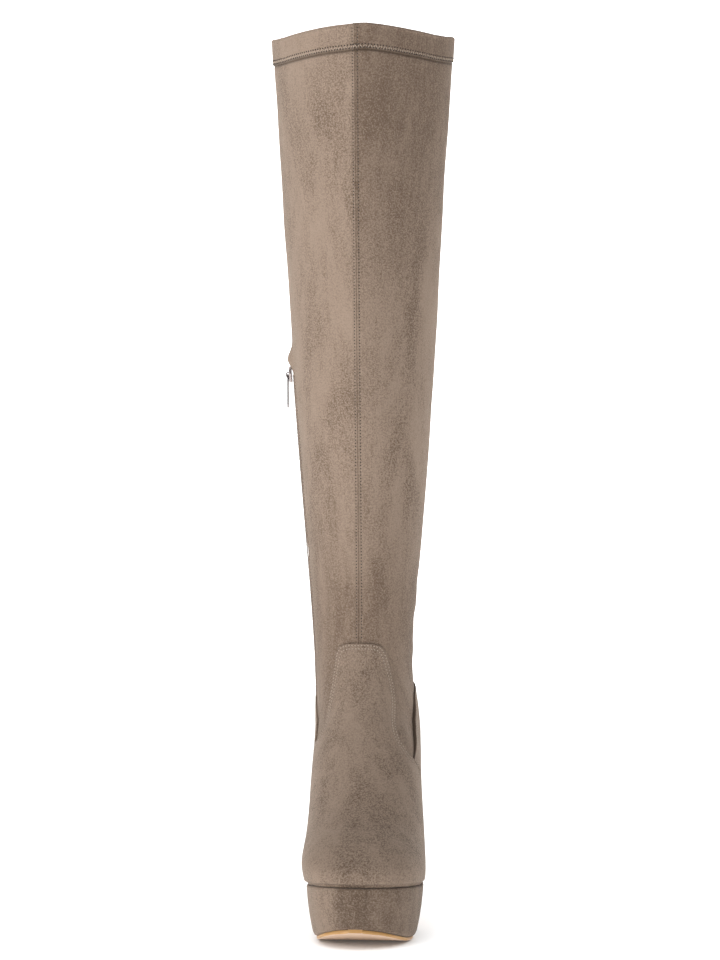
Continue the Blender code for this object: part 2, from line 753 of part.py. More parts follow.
def make_quarter(suede):
    """Overlay round ankle and heel, behind the vamp's edge, slotted for the zip."""
    quarter = overlay_shell("quarter", suede, FIRST_FOOT_ROW - 1)
    outlines = two_sided(quarter_outline(INNER_EDGE, INNER_TOP),
                         quarter_outline(OUTER_EDGE, OUTER_TOP))
    side_cut = prism("quarter_side_cut", outlines, 0)
    slot_half = ZIP_WIDTH / 2 + ZIP_CLEARANCE
    slot_cut = zip_prism("zip_slot_cut", slot_half, ZIP_BOTTOM - ZIP_CLEARANCE)
    boolean(quarter, slot_cut, "DIFFERENCE")
    boolean(quarter, side_cut, "INTERSECT")
    return quarter


def zip_prism(name, half_width, bottom):
    """Upright band on the inner side that cuts the zip, or the slot it lies in."""
    middle = -ZIP_PLACE * FOOT_LENGTH
    outline = [(middle - half_width, bottom), (middle + half_width, bottom),
               (middle + half_width, ZIP_TOP), (middle - half_width, ZIP_TOP)]
    return prism(name, [(-COLLAR_WIDTH, outline), (0.0, outline)], 0)


def make_zip(tape):
    places = [place for place, _ in RINGS]
    chain = last_shell("zip", tape, places, [GAP + ZIP_THICK] * len(places),
                       [GAP] * len(places))
    boolean(chain, zip_prism("zip_cut", ZIP_WIDTH / 2, ZIP_BOTTOM), "INTERSECT")
    return chain


def leg_side(height):
    """Inner side of the leg at a height, at the zip: its x and how much it leans outwards."""
    found = []
    for z in (height - SLIDER_LENGTH, height, height + SLIDER_LENGTH):
        low = 0.0
        high = float(FIRST_FOOT_ROW)
        for _ in range(BISECTIONS):
            middle = (low + high) / 2
            if slice_at(middle)["sole_z"] > z:
                low = middle
            else:
                high = middle
        section = slice_at(low)
        half_depth = (section["sole_y"] - section["top_y"]) / 2
        off = (-ZIP_PLACE * FOOT_LENGTH - section["sole_y"] + half_depth) / half_depth
        power = 2 / section["peak"]
        found.append(-section["width"] / 2 * (1 - abs(off) ** power) ** (1 / power))
    lean = math.atan2(found[0] - found[2], 2 * SLIDER_LENGTH)
    return found[1], lean


def ring_solid(bm, outer, inner, low, high, axis):
    """Add a flat frame: the area between two outlines of as many points, thick along an axis."""
    def point(pair, depth):
        return (pair[0], depth, pair[1]) if axis == 1 else (depth, pair[0], pair[1])

    loops = [[bm.verts.new(point(pair, depth)) for pair in outline]
             for depth in (low, high) for outline in (outer, inner)]
    count = len(outer)
    for k in range(count):
        n = (k + 1) % count
        for a, b in ((0, 1), (1, 3), (3, 2), (2, 0)):
            bm.faces.new((loops[a][k], loops[a][n], loops[b][n], loops[b][k]))


def slider_frame():
    """Matrix that puts the slider's own axes (out, across, up) on the leg, at the zip's top."""
    side_x, lean = leg_side(ZIP_TOP)
    out = Vector((-math.cos(lean), 0.0, -math.sin(lean)))
    up = Vector((-math.sin(lean), 0.0, math.cos(lean)))
    across = up.cross(out)
    base = Vector((side_x, -ZIP_PLACE * FOOT_LENGTH, ZIP_TOP)) + out * SLIDER_STAND
    frame = Matrix((out, across, up)).transposed().to_4x4()
    frame.translation = base
    return frame


def make_slider(nickel):
    """Slider: a body that narrows downwards, with a bridge that carries the pull tab."""
    half = SLIDER_WIDTH / 2
    top = SLIDER_LENGTH / 2
    rows = [dict(zip(SLIDER_COLUMNS, values)) for values in SLIDER_ROWS]
    right = [(row["across"] * half, row["up"] * top) for row in rows]
    outline = right + [(-across, up) for across, up in reversed(right)]
    bm = bmesh.new()
    ends = [[bm.verts.new((depth, y, z)) for y, z in outline] for depth in (0, SLIDER_THICK)]
    for k in range(len(outline)):
        n = (k + 1) % len(outline)
        bm.faces.new((ends[0][k], ends[0][n], ends[1][n], ends[1][k]))
    bm.faces.new(ends[0])
    bm.faces.new(ends[1])
    body = finish_mesh("zip_slider", bm, nickel)
    bevel = body.modifiers.new("Soft edges", "BEVEL")
    bevel.width = SLIDER_BEVEL
    bevel.segments = 2
    bridge = make_bridge()
    boolean(body, bridge, "UNION")
    frame = slider_frame()
    body.matrix_world = frame
    bridge.matrix_world = frame
    return body


def make_bridge():
    """Guide for the slider's bridge, joined to the slider's body."""
    foot = SLIDER_THICK * BRIDGE_FOOT
    inside = SLIDER_THICK + BAR_CLEAR + TAB_THICK + BAR_CLEAR
    reach = BRIDGE_SPAN / 2
    crown_out, crown_in = BRIDGE_CROWN
    outer = [(foot, -reach - BRIDGE_THICK), (foot, reach + BRIDGE_THICK),
             (inside, reach + BRIDGE_THICK), (inside + BRIDGE_THICK, crown_out * reach),
             (inside + BRIDGE_THICK, -crown_out * reach), (inside, -reach - BRIDGE_THICK)]
    inner = [(foot + BRIDGE_CORNER, -reach), (foot + BRIDGE_CORNER, reach),
             (inside - BRIDGE_CORNER, reach), (inside, crown_in * reach),
             (inside, -crown_in * reach), (inside - BRIDGE_CORNER, -reach)]
    bm = bmesh.new()
    ring_solid(bm, outer, inner, -BRIDGE_WIDTH / 2, BRIDGE_WIDTH / 2, 1)
    bridge = finish_mesh("bridge_guide", bm, None)
    bridge.hide_render = True
    bridge.display_type = "WIRE"
    return bridge


def make_pull_tab(nickel):
    """Pull tab with the window that the bridge passes through. Its origin is the hinge."""
    half = TAB_WIDTH / 2
    bar = TAB_THICK / 2
    window_half = BRIDGE_WIDTH / 2 + BAR_CLEAR
    window_low = -(BRIDGE_SPAN + 2 * BRIDGE_THICK) - bar
    low = bar - TAB_LENGTH
    outer = [(TAB_HEAD * half, bar), (half, 0.0), (half, window_low),
             (TAB_WAIST * half, low + half), (TAB_TOE * half, low)]
    inner = [(WINDOW_HEAD * window_half, -bar), (window_half, -BAR_ROUND),
             (window_half, window_low / 2), (window_half, WINDOW_WAIST * window_low),
             (WINDOW_TOE * window_half, window_low)]
    outer += [(-across, up) for across, up in reversed(outer)]
    inner += [(-across, up) for across, up in reversed(inner)]
    bm = bmesh.new()
    ring_solid(bm, outer, inner, -bar, bar, 0)
    tab = finish_mesh("pull_tab", bm, nickel)
    tab.location = slider_frame() @ Vector((SLIDER_THICK + BAR_CLEAR + bar, 0.0, 0.0))
    return tab


def centre_on_footprint(items):
    """Move everything so that the middle of the footprint is the origin and it stands on 0."""
    graph = bpy.context.evaluated_depsgraph_get()
    corners = []
    for item in items:
        if item.hide_render:
            continue
        seen = item.evaluated_get(graph)
        mesh = seen.to_mesh()
        corners += [seen.matrix_world @ vert.co for vert in mesh.vertices]
        seen.to_mesh_clear()
    points = np.array([corner[:] for corner in corners])
    low = points.min(axis=0)
    high = points.max(axis=0)
    shift = Vector((-(low[0] + high[0]) / 2, -(low[1] + high[1]) / 2, -low[2]))
    for item in items:
        item.location = item.location + shift


def build():
    clear_scene()
    suede = material("suede", "suede", 0.95)
    wrapped = material("suede_wrapped", "suede_dark", 0.95)
    tan = material("tan_sole", "tan_sole", 0.55)
    make_upper(suede)
    make_vamp(wrapped)
    make_quarter(wrapped)
    make_insole(material("lining", "lining", 0.9))
    make_platform(wrapped)
    make_outsole(tan)
    make_heel(wrapped)
    make_heel_tip(material("rubber", "rubber", 0.7))
    make_zip(material("zip_tape", "zip_tape", 0.8))
    make_slider(material("slider_nickel", "nickel", 0.3, 1.0))
    make_pull_tab(material("tab_nickel", "nickel", 0.35, 1.0))
    bpy.context.view_layer.update()
    centre_on_footprint(list(bpy.data.objects))


build()
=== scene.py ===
# %% [markdown]
# A thigh high boot, dressed around its solid model
#
# The solid model holds the true form of the last, the platform and the heel. This lesson gives
# each piece the surface that the real boot has: brushed suede with its seams, a turned hem,
# a coil zip and a tan sole. The frame is loaded first, because every piece takes its place
# from it.

# %% Load the frame
import math

import bmesh
import bpy
import numpy as np
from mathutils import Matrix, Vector
from mathutils.bvhtree import BVHTree
from mathutils.kdtree import KDTree


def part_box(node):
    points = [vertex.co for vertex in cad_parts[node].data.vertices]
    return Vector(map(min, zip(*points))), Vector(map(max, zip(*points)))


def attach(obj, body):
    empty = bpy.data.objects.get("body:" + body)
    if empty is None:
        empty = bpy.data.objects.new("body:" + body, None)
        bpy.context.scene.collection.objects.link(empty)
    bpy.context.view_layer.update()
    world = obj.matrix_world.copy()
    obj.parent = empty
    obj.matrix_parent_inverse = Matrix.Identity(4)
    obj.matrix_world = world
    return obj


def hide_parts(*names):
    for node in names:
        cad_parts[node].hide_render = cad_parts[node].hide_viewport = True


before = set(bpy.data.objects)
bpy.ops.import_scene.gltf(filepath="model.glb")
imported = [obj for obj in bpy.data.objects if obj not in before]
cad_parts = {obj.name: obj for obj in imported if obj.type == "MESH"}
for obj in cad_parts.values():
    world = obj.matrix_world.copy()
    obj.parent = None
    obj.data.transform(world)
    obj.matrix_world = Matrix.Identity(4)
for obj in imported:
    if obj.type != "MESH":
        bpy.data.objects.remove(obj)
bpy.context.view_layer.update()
MM = 0.001
print("nodes", sorted(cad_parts))

# %% [markdown]
# The camera, the floor and the light
#
# The photograph looks at the boot's front from knee height, with a long lens and a slight
# turn to the outer side. The floor bends up into a wall behind the boot, as a paper sweep
# does in a studio, so no horizon shows. A long lens could also be faked with a parallel
# camera, but then the collar's rim wouldn't rise in its middle as it does here.

# %% Place the camera
CAMERA_HEIGHT = 0.347
CAMERA_AWAY = 1.95
CAMERA_TURN = math.radians(5.0)
FOCAL_PIXELS = 2436
FRAME_HEIGHT = 960
SENSOR = 36.0
LEG_Y = 0.043
AIM_LEFT = 0.0024


def linked(name, data):
    """Object with this data, in the scene."""
    item = bpy.data.objects.new(name, data)
    bpy.context.scene.collection.objects.link(item)
    return item


camera_data = bpy.data.cameras.new("studio_camera")
camera_data.sensor_width = SENSOR
camera_data.lens = FOCAL_PIXELS * SENSOR / FRAME_HEIGHT
camera = linked("studio_camera", camera_data)
side = Vector((math.cos(CAMERA_TURN), math.sin(CAMERA_TURN), 0.0))
back = Vector((math.sin(CAMERA_TURN), -math.cos(CAMERA_TURN), 0.0))
camera.location = Vector((0.0, LEG_Y, CAMERA_HEIGHT)) + back * CAMERA_AWAY - side * AIM_LEFT
camera.rotation_mode = "QUATERNION"
camera.rotation_quaternion = (-back).to_track_quat("-Z", "Y")
bpy.context.scene.camera = camera
print("lens", round(camera_data.lens, 1), "mm")

# %% Lay the paper sweep
SWEEP_HALF_WIDTH = 4.0
SWEEP_FRONT = -3.5
SWEEP_BACK = 2.2
SWEEP_BEND = 0.9
SWEEP_TOP = 3.5
SWEEP_STEPS = 12
PAPER_GLOW = 0.04
WALL_GLOW = 1.0


def plain_shader(name, colour, roughness):
    """Material with one finish, and its node tree's shader."""
    made = bpy.data.materials.new(name)
    made.use_nodes = True
    shader = made.node_tree.nodes["Principled BSDF"]
    shader.inputs["Base Color"].default_value = (*colour, 1.0)
    shader.inputs["Roughness"].default_value = roughness
    return made, shader


def glowing_paper(name, glow):
    paper, shader = plain_shader(name, (0.80, 0.80, 0.80), 0.9)
    shader.inputs["Emission Color"].default_value = (1.0, 1.0, 1.0, 1.0)
    shader.inputs["Emission Strength"].default_value = glow
    return paper


def paper_sweep():
    profile = [(SWEEP_FRONT, 0.0), (SWEEP_BACK, 0.0)]
    for step in range(1, SWEEP_STEPS + 1):
        angle = math.radians(90 * step / SWEEP_STEPS)
        profile.append((SWEEP_BACK + SWEEP_BEND * math.sin(angle),
                        SWEEP_BEND * (1 - math.cos(angle))))
    profile.append((SWEEP_BACK + SWEEP_BEND, SWEEP_TOP))
    verts = [(x, y, z) for y, z in profile for x in (-SWEEP_HALF_WIDTH, SWEEP_HALF_WIDTH)]
    faces = [(2 * k, 2 * k + 1, 2 * k + 3, 2 * k + 2) for k in range(len(profile) - 1)]
    mesh = bpy.data.meshes.new("paper_sweep")
    mesh.from_pydata(verts, [], faces)
    mesh.shade_smooth()
    mesh.materials.append(glowing_paper("floor_paper", PAPER_GLOW))
    mesh.materials.append(glowing_paper("wall_paper", WALL_GLOW))
    for poly in mesh.polygons[1:]:
        poly.material_index = 1
    item = linked("paper_sweep", mesh)
    return item


sweep = paper_sweep()

# %% Light the studio
# name, place, size, watts: the key stands to the viewer's left
SOFT_BOXES = (
    ("key_box", (-2.0, -1.9, 1.25), 1.3, 36.8),
    ("fill_box", (0.9, -2.6, 1.0), 1.4, 4.6),
    ("rim_box", (2.2, 1.0, 0.9), 1.0, 5.0),
    ("top_box", (-0.3, -0.6, 2.6), 1.4, 14.0),
)
AIM = Vector((0.0, 0.0, 0.35))
FLOOR_LIGHT = 3.7
FLOOR_SOFTNESS = math.radians(110)
WORLD_GREY = 0.82
WORLD_STRENGTH = 0.275


def soft_box(name, place, size, watts):
    data = bpy.data.lights.new(name, "AREA")
    data.shape = "DISK"
    data.size = size
    data.energy = watts
    lamp = linked(name, data)
    lamp.location = place
    lamp.rotation_mode = "QUATERNION"
    lamp.rotation_quaternion = (AIM - Vector(place)).to_track_quat("-Z", "Y")


def floor_light():
    """Broad light from above for the paper alone, so it stays white round a soft shadow."""
    data = bpy.data.lights.new("floor_light", "SUN")
    data.energy = FLOOR_LIGHT
    data.angle = FLOOR_SOFTNESS
    lamp = linked("floor_light", data)
    lit = bpy.data.collections.new("lit_by_floor_light")
    lit.objects.link(sweep)
    lamp.light_linking.receiver_collection = lit


for box in SOFT_BOXES:
    soft_box(*box)
floor_light()
world = bpy.data.worlds.new("studio_air")
world.use_nodes = True
sky = world.node_tree.nodes["Background"]
sky.inputs["Color"].default_value = (WORLD_GREY, WORLD_GREY, WORLD_GREY, 1.0)
sky.inputs["Strength"].default_value = WORLD_STRENGTH
bpy.context.scene.world = world
bpy.context.scene.view_settings.view_transform = "Standard"
print("lights", len(SOFT_BOXES))

# %% [markdown]
# The last
#
# A boot is pulled over a last, and its outside is the last's form. The form is written here
# as rows of slices, level across the leg and fanning forward through the foot, the same rows
# that the solid model has. Sampling the rule again, and not the solid's facets, gives
# a smooth skin at any fineness, and each seam can be laid at a measured distance.

# %% Sizes of the last
HEIGHT = 0.700
COLLAR_WIDTH = 0.146
COLLAR_DEPTH = 0.148
ANKLE_HEIGHT = 0.205
ANKLE_WIDTH = 0.0775
ANKLE_DEPTH = 0.094
FOOT_LENGTH = 0.222
BALL_WIDTH = 0.090
SEAT_HEIGHT = 0.118
BALL_HEIGHT = 0.039
TOE_LIFT = 0.008
WALL = 0.0018
HEM_HEIGHT = 0.0185
HEM_STEP = 0.0008
OVERLAY = 0.0012
GAP = 0.0003

# height, width and depth from the ankle (0) to the collar (1), back as a share of the
# collar's depth, peak as the power that draws the soft shaft to a ridge at its seams
LEG_ROWS = (
    (1.000, 1.000, 1.000, 0.081, 1.34),
    (0.820, 0.835, 0.820, 0.063, 1.31),
    (0.610, 0.640, 0.610, 0.045, 1.26),
    (0.450, 0.505, 0.510, 0.056, 1.20),
    (0.315, 0.365, 0.400, 0.062, 1.13),
    (0.190, 0.215, 0.240, 0.040, 1.06),
    (0.085, 0.085, 0.060, 0.000, 1.02),
)
# sole, rise, spring, top, crown, width, feather, belly, lean, ridge, flat, back
FOOT_ROWS = (
    (0.018, 2.101, 0.00, 0.441, 1.000, 0.861, 0.20, 0.50, 0.000, 0.00, 0, 30),
    (0.022, 1.835, 0.00, 0.445, 0.965, 0.862, 0.20, 0.50, 0.006, 0.00, 0, 27),
    (0.014, 1.570, 0.00, 0.455, 0.930, 0.870, 0.20, 0.50, 0.016, 0.00, 0, 23),
    (0.001, 1.315, 0.00, 0.468, 0.886, 0.890, 0.20, 0.50, 0.027, 0.00, 0, 18),
    (-0.002, 1.125, 0.00, 0.483, 0.842, 0.902, 0.20, 0.50, 0.034, 0.00, 0, 14),
    (0.000, 1.012, 0.00, 0.494, 0.812, 0.905, 0.20, 0.50, 0.038, 0.00, 0, 12),
    (0.009, 0.997, 0.00, 0.499, 0.800, 0.905, 0.24, 0.50, 0.039, 0.00, 1, 12),
    (0.027, 0.987, 0.00, 0.506, 0.784, 0.905, 0.41, 0.50, 0.041, 0.00, 1, 12),
    (0.063, 0.968, 0.00, 0.520, 0.758, 0.906, 0.57, 0.49, 0.044, 0.00, 1, 12),
    (0.144, 0.918, 0.00, 0.550, 0.704, 0.911, 0.665, 0.48, 0.052, 0.00, 1, 12),
    (0.261, 0.785, 0.00, 0.586, 0.632, 0.920, 0.650, 0.46, 0.065, -0.01, 1, 12),
    (0.378, 0.570, 0.00, 0.626, 0.560, 0.937, 0.640, 0.42, 0.080, -0.02, 1, 12),
    (0.486, 0.316, 0.00, 0.667, 0.494, 0.959, 0.700, 0.36, 0.096, -0.03, 1, 12),
    (0.586, 0.108, 0.00, 0.712, 0.428, 0.984, 0.830, 0.32, 0.108, -0.04, 1, 12),
    (0.676, 0.013, 0.18, 0.766, 0.358, 1.000, 0.925, 0.30, 0.116, -0.05, 1, 12),
    (0.766, 0.000, 0.36, 0.824, 0.301, 0.985, 0.932, 0.30, 0.116, -0.05, 1, 12),
    (0.842, 0.000, 0.56, 0.883, 0.253, 0.926, 0.880, 0.32, 0.108, -0.04, 1, 12),
    (0.905, 0.000, 0.76, 0.928, 0.211, 0.815, 0.770, 0.36, 0.099, -0.03, 1, 12),
    (0.955, 0.000, 0.90, 0.964, 0.166, 0.640, 0.590, 0.42, 0.091, -0.02, 1, 12),
    (0.984, 0.000, 0.98, 0.987, 0.133, 0.420, 0.370, 0.47, 0.086, 0.00, 1, 12),
    (0.996, 0.000, 1.00, 0.997, 0.115, 0.215, 0.180, 0.50, 0.084, 0.00, 1, 12),
)
SLICE_KEYS = ("sole_y", "sole_z", "top_y", "top_z", "width", "feather", "belly", "lean",
              "ridge", "flat", "back", "peak")
FIRST_FOOT_ROW = len(LEG_ROWS)
LAST_ROW = FIRST_FOOT_ROW + len(FOOT_ROWS) - 1
HEEL_BACK_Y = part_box("upper")[1].y - LEG_ROWS[0][3] * COLLAR_DEPTH - HEM_STEP


def mix(low, high, share):
    return low + (high - low) * share


def spread_over(places, columns):
    """Each place repeated over a row of columns."""
    return np.repeat(np.asarray(places)[:, None], columns, 1)


def slice_table():
    """Real lengths of every slice, one row each, with the columns of SLICE_KEYS."""
    rows = []
    for height, width, depth, back, peak in LEG_ROWS:
        z = mix(ANKLE_HEIGHT, HEIGHT, height)
        back_y = HEEL_BACK_Y + back * COLLAR_DEPTH
        front_y = back_y - mix(ANKLE_DEPTH, COLLAR_DEPTH, depth)
        rows.append((back_y, z, front_y, z, mix(ANKLE_WIDTH, COLLAR_WIDTH, width),
                     0.0, 0.5, 0.0, 0.0, 0.0, 30.0, peak))
    for (sole, rise, spring, top, crown, width, feather, belly, lean, ridge, flat,
         back) in FOOT_ROWS:
        rows.append((HEEL_BACK_Y - sole * FOOT_LENGTH,
                     mix(BALL_HEIGHT, SEAT_HEIGHT, rise) + spring * TOE_LIFT,
                     HEEL_BACK_Y - top * FOOT_LENGTH, mix(BALL_HEIGHT, ANKLE_HEIGHT, crown),
                     width * BALL_WIDTH, feather * BALL_WIDTH, belly, lean * BALL_WIDTH,
                     ridge * BALL_WIDTH, flat, back, 1.0))
    return np.array(rows)


SLICES = slice_table()
print("slices", len(SLICES), "heel at y", round(HEEL_BACK_Y, 4))

# %% Walk the last's skin
# A place is a slice's number, and around runs from -1 to 1: 0 is the front or the instep,
# 1 and -1 the back or the middle of the sole, and positive is the outer side.
TOP_ZONE = 0.5
SIDE_ZONE = 5 / 6


def slice_slopes():
    """How far apart the slices are, and how each value changes there, per metre."""
    steps = np.diff(SLICES, axis=0)
    apart = (np.hypot(steps[:, 0], steps[:, 1]) + np.hypot(steps[:, 2], steps[:, 3])) / 2
    rate = steps / apart[:, None]
    before = apart[:-1, None]
    after = apart[1:, None]
    inner = (rate[:-1] * after + rate[1:] * before) / (before + after)
    return apart, np.concatenate((rate[:1], inner, rate[-1:]))


APART, SLOPES = slice_slopes()


def slices_at(places):
    """Slices at many places, on a smooth curve through the table's rows."""
    places = np.clip(np.asarray(places, float), 0.0, LAST_ROW)
    start = np.minimum(places.astype(int), LAST_ROW - 1)
    t = (places - start)[..., None]
    apart = APART[start][..., None]
    values = ((2 * t ** 3 - 3 * t ** 2 + 1) * SLICES[start]
              + (t ** 3 - 2 * t ** 2 + t) * SLOPES[start] * apart
              + (3 * t ** 2 - 2 * t ** 3) * SLICES[start + 1]
              + (t ** 3 - t ** 2) * SLOPES[start + 1] * apart)
    found = {key: values[..., k] for k, key in enumerate(SLICE_KEYS)}
    found["flat"] = np.clip(found["flat"], 0.0, 1.0)
    return found


def power(value, peak):
    return np.clip(value, 0.0, None) ** peak


def skin_points(places, around):
    """Points of the last's skin. places and around are arrays of one shape."""
    s = slices_at(places)
    turn = np.abs(around)
    quarter = math.pi / 2
    top = np.clip(1 - turn / TOP_ZONE, 0, 1)
    side = np.clip(1 - (turn - TOP_ZONE) / (SIDE_ZONE - TOP_ZONE), 0, 1)
    sole = np.clip(1 - (turn - SIDE_ZONE) / (1 - SIDE_ZONE), 0, 1)
    half_width = s["width"] / 2
    feather = s["feather"] / 2
    corner = np.radians(s["back"])
    low_angle = np.where(turn > SIDE_ZONE, sole * corner, mix(corner, quarter, side))
    peak = s["peak"]
    round_across = half_width * power(np.sin(low_angle), peak)
    round_along = s["belly"] * (1 - power(np.cos(low_angle), peak))
    flat_across = np.where(turn > SIDE_ZONE, feather * sole,
                           feather + (half_width - feather) * np.sin(side * quarter))
    flat_along = np.where(turn > SIDE_ZONE, 0.0, s["belly"] * (1 - np.cos(side * quarter)))
    across = mix(round_across, flat_across, s["flat"])
    along = mix(round_along, flat_along, s["flat"])
    in_top = turn < TOP_ZONE
    across = np.where(in_top, half_width * power(np.cos(top * quarter), peak), across)
    over = s["belly"] + (1 - s["belly"]) * power(np.sin(top * quarter), peak)
    along = np.where(in_top, over, along)
    across = across * np.where(around < 0, -1.0, 1.0)
    return np.stack((s["lean"] + s["ridge"] * along + across,
                     mix(s["sole_y"], s["top_y"], along),
                     mix(s["sole_z"], s["top_z"], along)), axis=-1)


AROUND_STEP = 0.004
PLACE_STEP = 0.01
PLACE_GAP = 0.02


def skin_normals(places, around):
    """Outward unit normals of the skin, from small steps along it."""
    low = np.clip(places - PLACE_STEP, 0, LAST_ROW)
    high = np.clip(places + PLACE_STEP, 0, LAST_ROW)
    down = skin_points(high, around) - skin_points(low, around)
    ahead = np.where(around + AROUND_STEP > 1, around + AROUND_STEP - 2, around + AROUND_STEP)
    behind = np.where(around - AROUND_STEP < -1, around - AROUND_STEP + 2,
                      around - AROUND_STEP)
    across = skin_points(places, ahead) - skin_points(places, behind)
    normals = np.cross(across, down)
    length = np.linalg.norm(normals, axis=-1, keepdims=True)
    return normals / np.maximum(length, 1e-12)


test = skin_normals(np.array([2.0]), np.array([0.5]))[0]
NORMAL_SIGN = 1.0 if test[0] > 0 else -1.0
print("outer side faces", np.round(test * NORMAL_SIGN, 2))

# %% Measure along the skin
MEASURE_COLUMNS = 361
HEIGHT_SAMPLES = 1401
SPREAD_SAMPLES = 2001
MEASURE_AROUND = np.linspace(-1, 1, MEASURE_COLUMNS)


class Girth:
    """Distances round the skin at many places, from the front middle, outer side positive."""

    def __init__(self, places):
        self.places = np.asarray(places, float)
        grid = skin_points(spread_over(self.places, MEASURE_COLUMNS),
                           np.repeat(MEASURE_AROUND[None], len(self.places), 0))
        steps = np.linalg.norm(np.diff(grid, axis=1), axis=2)
        arc = np.concatenate((np.zeros((len(grid), 1)), np.cumsum(steps, axis=1)), axis=1)
        self.arc = arc - arc[:, MEASURE_COLUMNS // 2][:, None]
        self.grid = grid

    def around(self, row, arc):
        """Place round one ring at a distance from its front middle."""
        return np.interp(arc, self.arc[row], MEASURE_AROUND)

    def arc_at(self, row, around):
        return np.interp(around, MEASURE_AROUND, self.arc[row])


def place_at_height(z):
    """Place in the leg whose level slice has this height."""
    places = np.linspace(0, FIRST_FOOT_ROW, HEIGHT_SAMPLES)
    return float(np.interp(-z, -slices_at(places)["sole_z"], places))


def even_places(first, last, spacing):
    """Places between two rows, about as far apart on the skin as the spacing."""
    fine = np.linspace(first, last, SPREAD_SAMPLES)
    s = slices_at(fine)
    step = 0.0
    for y, z in (("sole_y", "sole_z"), ("top_y", "top_z")):
        step = step + np.hypot(np.diff(s[y]), np.diff(s[z])) / 2
    run = np.concatenate(([0.0], np.cumsum(step)))
    count = max(2, int(round(run[-1] / spacing)) + 1)
    return np.interp(np.linspace(0, run[-1], count), run, fine)


print("collar girth", round(float(np.ptp(Girth([0.0]).arc)), 4), "m")

# %% [markdown]
# Relief of the leg
#
# Stretch suede pulled over a leg form is smooth, but it isn't dead even. It dips along each
# row of stitches, stands up where the hem is turned, bulges over the zip's top end, and
# breaks into soft folds above the ankle. Each of these is a height added to the skin. Folds
# could be simulated as cloth, but a few troughs, listed one by one, land where the boot has
# them.

# %% Place the creases
# height is a share of the ankle's height, around a share of the half girth (outer side
# positive), reach and breadth shares of the ankle's width, depth a share of it, tilt degrees
CREASE_ROWS = (
    (1.10, 0.97, 0.42, 0.085, -0.016, 4),
    (1.17, 0.92, 0.40, 0.090, 0.011, -5),
    (1.25, -0.95, 0.45, 0.100, -0.013, 6),
    (1.36, 0.90, 0.50, 0.120, -0.010, -4),
    (1.20, -0.62, 0.36, 0.085, -0.012, 18),
    (1.08, -0.55, 0.34, 0.075, 0.008, 14),
    (1.14, 0.60, 0.36, 0.085, -0.013, -16),
    (1.03, 0.52, 0.30, 0.080, 0.009, -20),
    (1.30, 0.48, 0.42, 0.110, -0.008, -10),
    (1.42, -0.45, 0.45, 0.120, -0.007, 12),
    (1.12, 0.12, 0.34, 0.095, -0.007, -3),
    (1.95, 0.80, 0.60, 0.200, -0.012, -8),
    (2.12, -0.80, 0.60, 0.200, -0.011, 8),
    (2.30, 0.95, 0.55, 0.160, -0.010, 3),
    (2.75, -0.35, 0.80, 0.260, 0.009, 30),
    (2.95, 0.40, 0.90, 0.280, -0.010, -35),
    (3.10, -0.70, 0.80, 0.240, -0.008, 25),
    (2.40, 0.35, 0.70, 0.240, 0.008, -28),
)


def crease_relief(points, arc, half_arc):
    """Sum of the listed troughs and ridges at these points."""
    total = np.zeros(arc.shape)
    for height, around, reach, breadth, depth, tilt in CREASE_ROWS:
        up = points[..., 2] - height * ANKLE_HEIGHT
        over = arc - around * half_arc
        over = np.where(over > half_arc, over - 2 * half_arc, over)
        over = np.where(over < -half_arc, over + 2 * half_arc, over)
        lean = math.radians(tilt)
        along = (over * math.cos(lean) + up * math.sin(lean)) / (reach * ANKLE_WIDTH)
        cross = (up * math.cos(lean) - over * math.sin(lean)) / (breadth * ANKLE_WIDTH)
        total += depth * ANKLE_WIDTH * np.exp(-along ** 2 - cross ** 2)
    return total


# %% Shape seams, hem and zip edges
ZIP_Y = HEEL_BACK_Y - 0.24 * FOOT_LENGTH
ZIP_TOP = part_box("zip")[1].z
ZIP_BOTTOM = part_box("zip")[0].z
LEG_FADE = (0.62, 0.90)
SEAM_HALF = 0.0019
SEAM_GROOVE = 0.0006
GROOVE_REACH = 0.0005
SEAM_SWELL = 0.0003
SWELL_REACH = 0.0007
STITCH_DENT = 0.00035
DENT_REACH = 0.0006
HEM_WAVE = 0.00035
HEM_WAVES_A_METRE = (95, 31)
HEM_EDGE = (0.0006, 0.0004)
HEM_STITCH_UP = 0.0018
HEM_DENT_REACH = 0.0009
HEM_CREASE = 0.0004
HEM_CREASE_DOWN = 0.0010
HEM_CREASE_REACH = 0.0008
ZIP_FADE = (0.006, 0.010)
ZIP_LIP = 0.0007
ZIP_LIP_AT = 0.0048
ZIP_LIP_REACH = 0.0016
ZIP_STITCH_OUT = 0.0018
BULGE_ABOVE = 0.0125
BULGE_HEIGHT = 0.0050
BULGE_REACH = (0.0085, 0.0078)


def bump(distance, reach):
    return np.exp(-(distance / reach) ** 2)


def smooth_step(value, low, high):
    share = np.clip((value - low) / (high - low), 0, 1)
    return share * share * (3 - 2 * share)


def seam_relief(arc):
    """An opened seam: a groove, a swell to each side and a dent under each stitch row."""
    away = np.abs(arc)
    return (-SEAM_GROOVE * bump(away, GROOVE_REACH)
            + SEAM_SWELL * bump(away - SEAM_HALF / 2, SWELL_REACH)
            - STITCH_DENT * bump(away - SEAM_HALF, DENT_REACH))


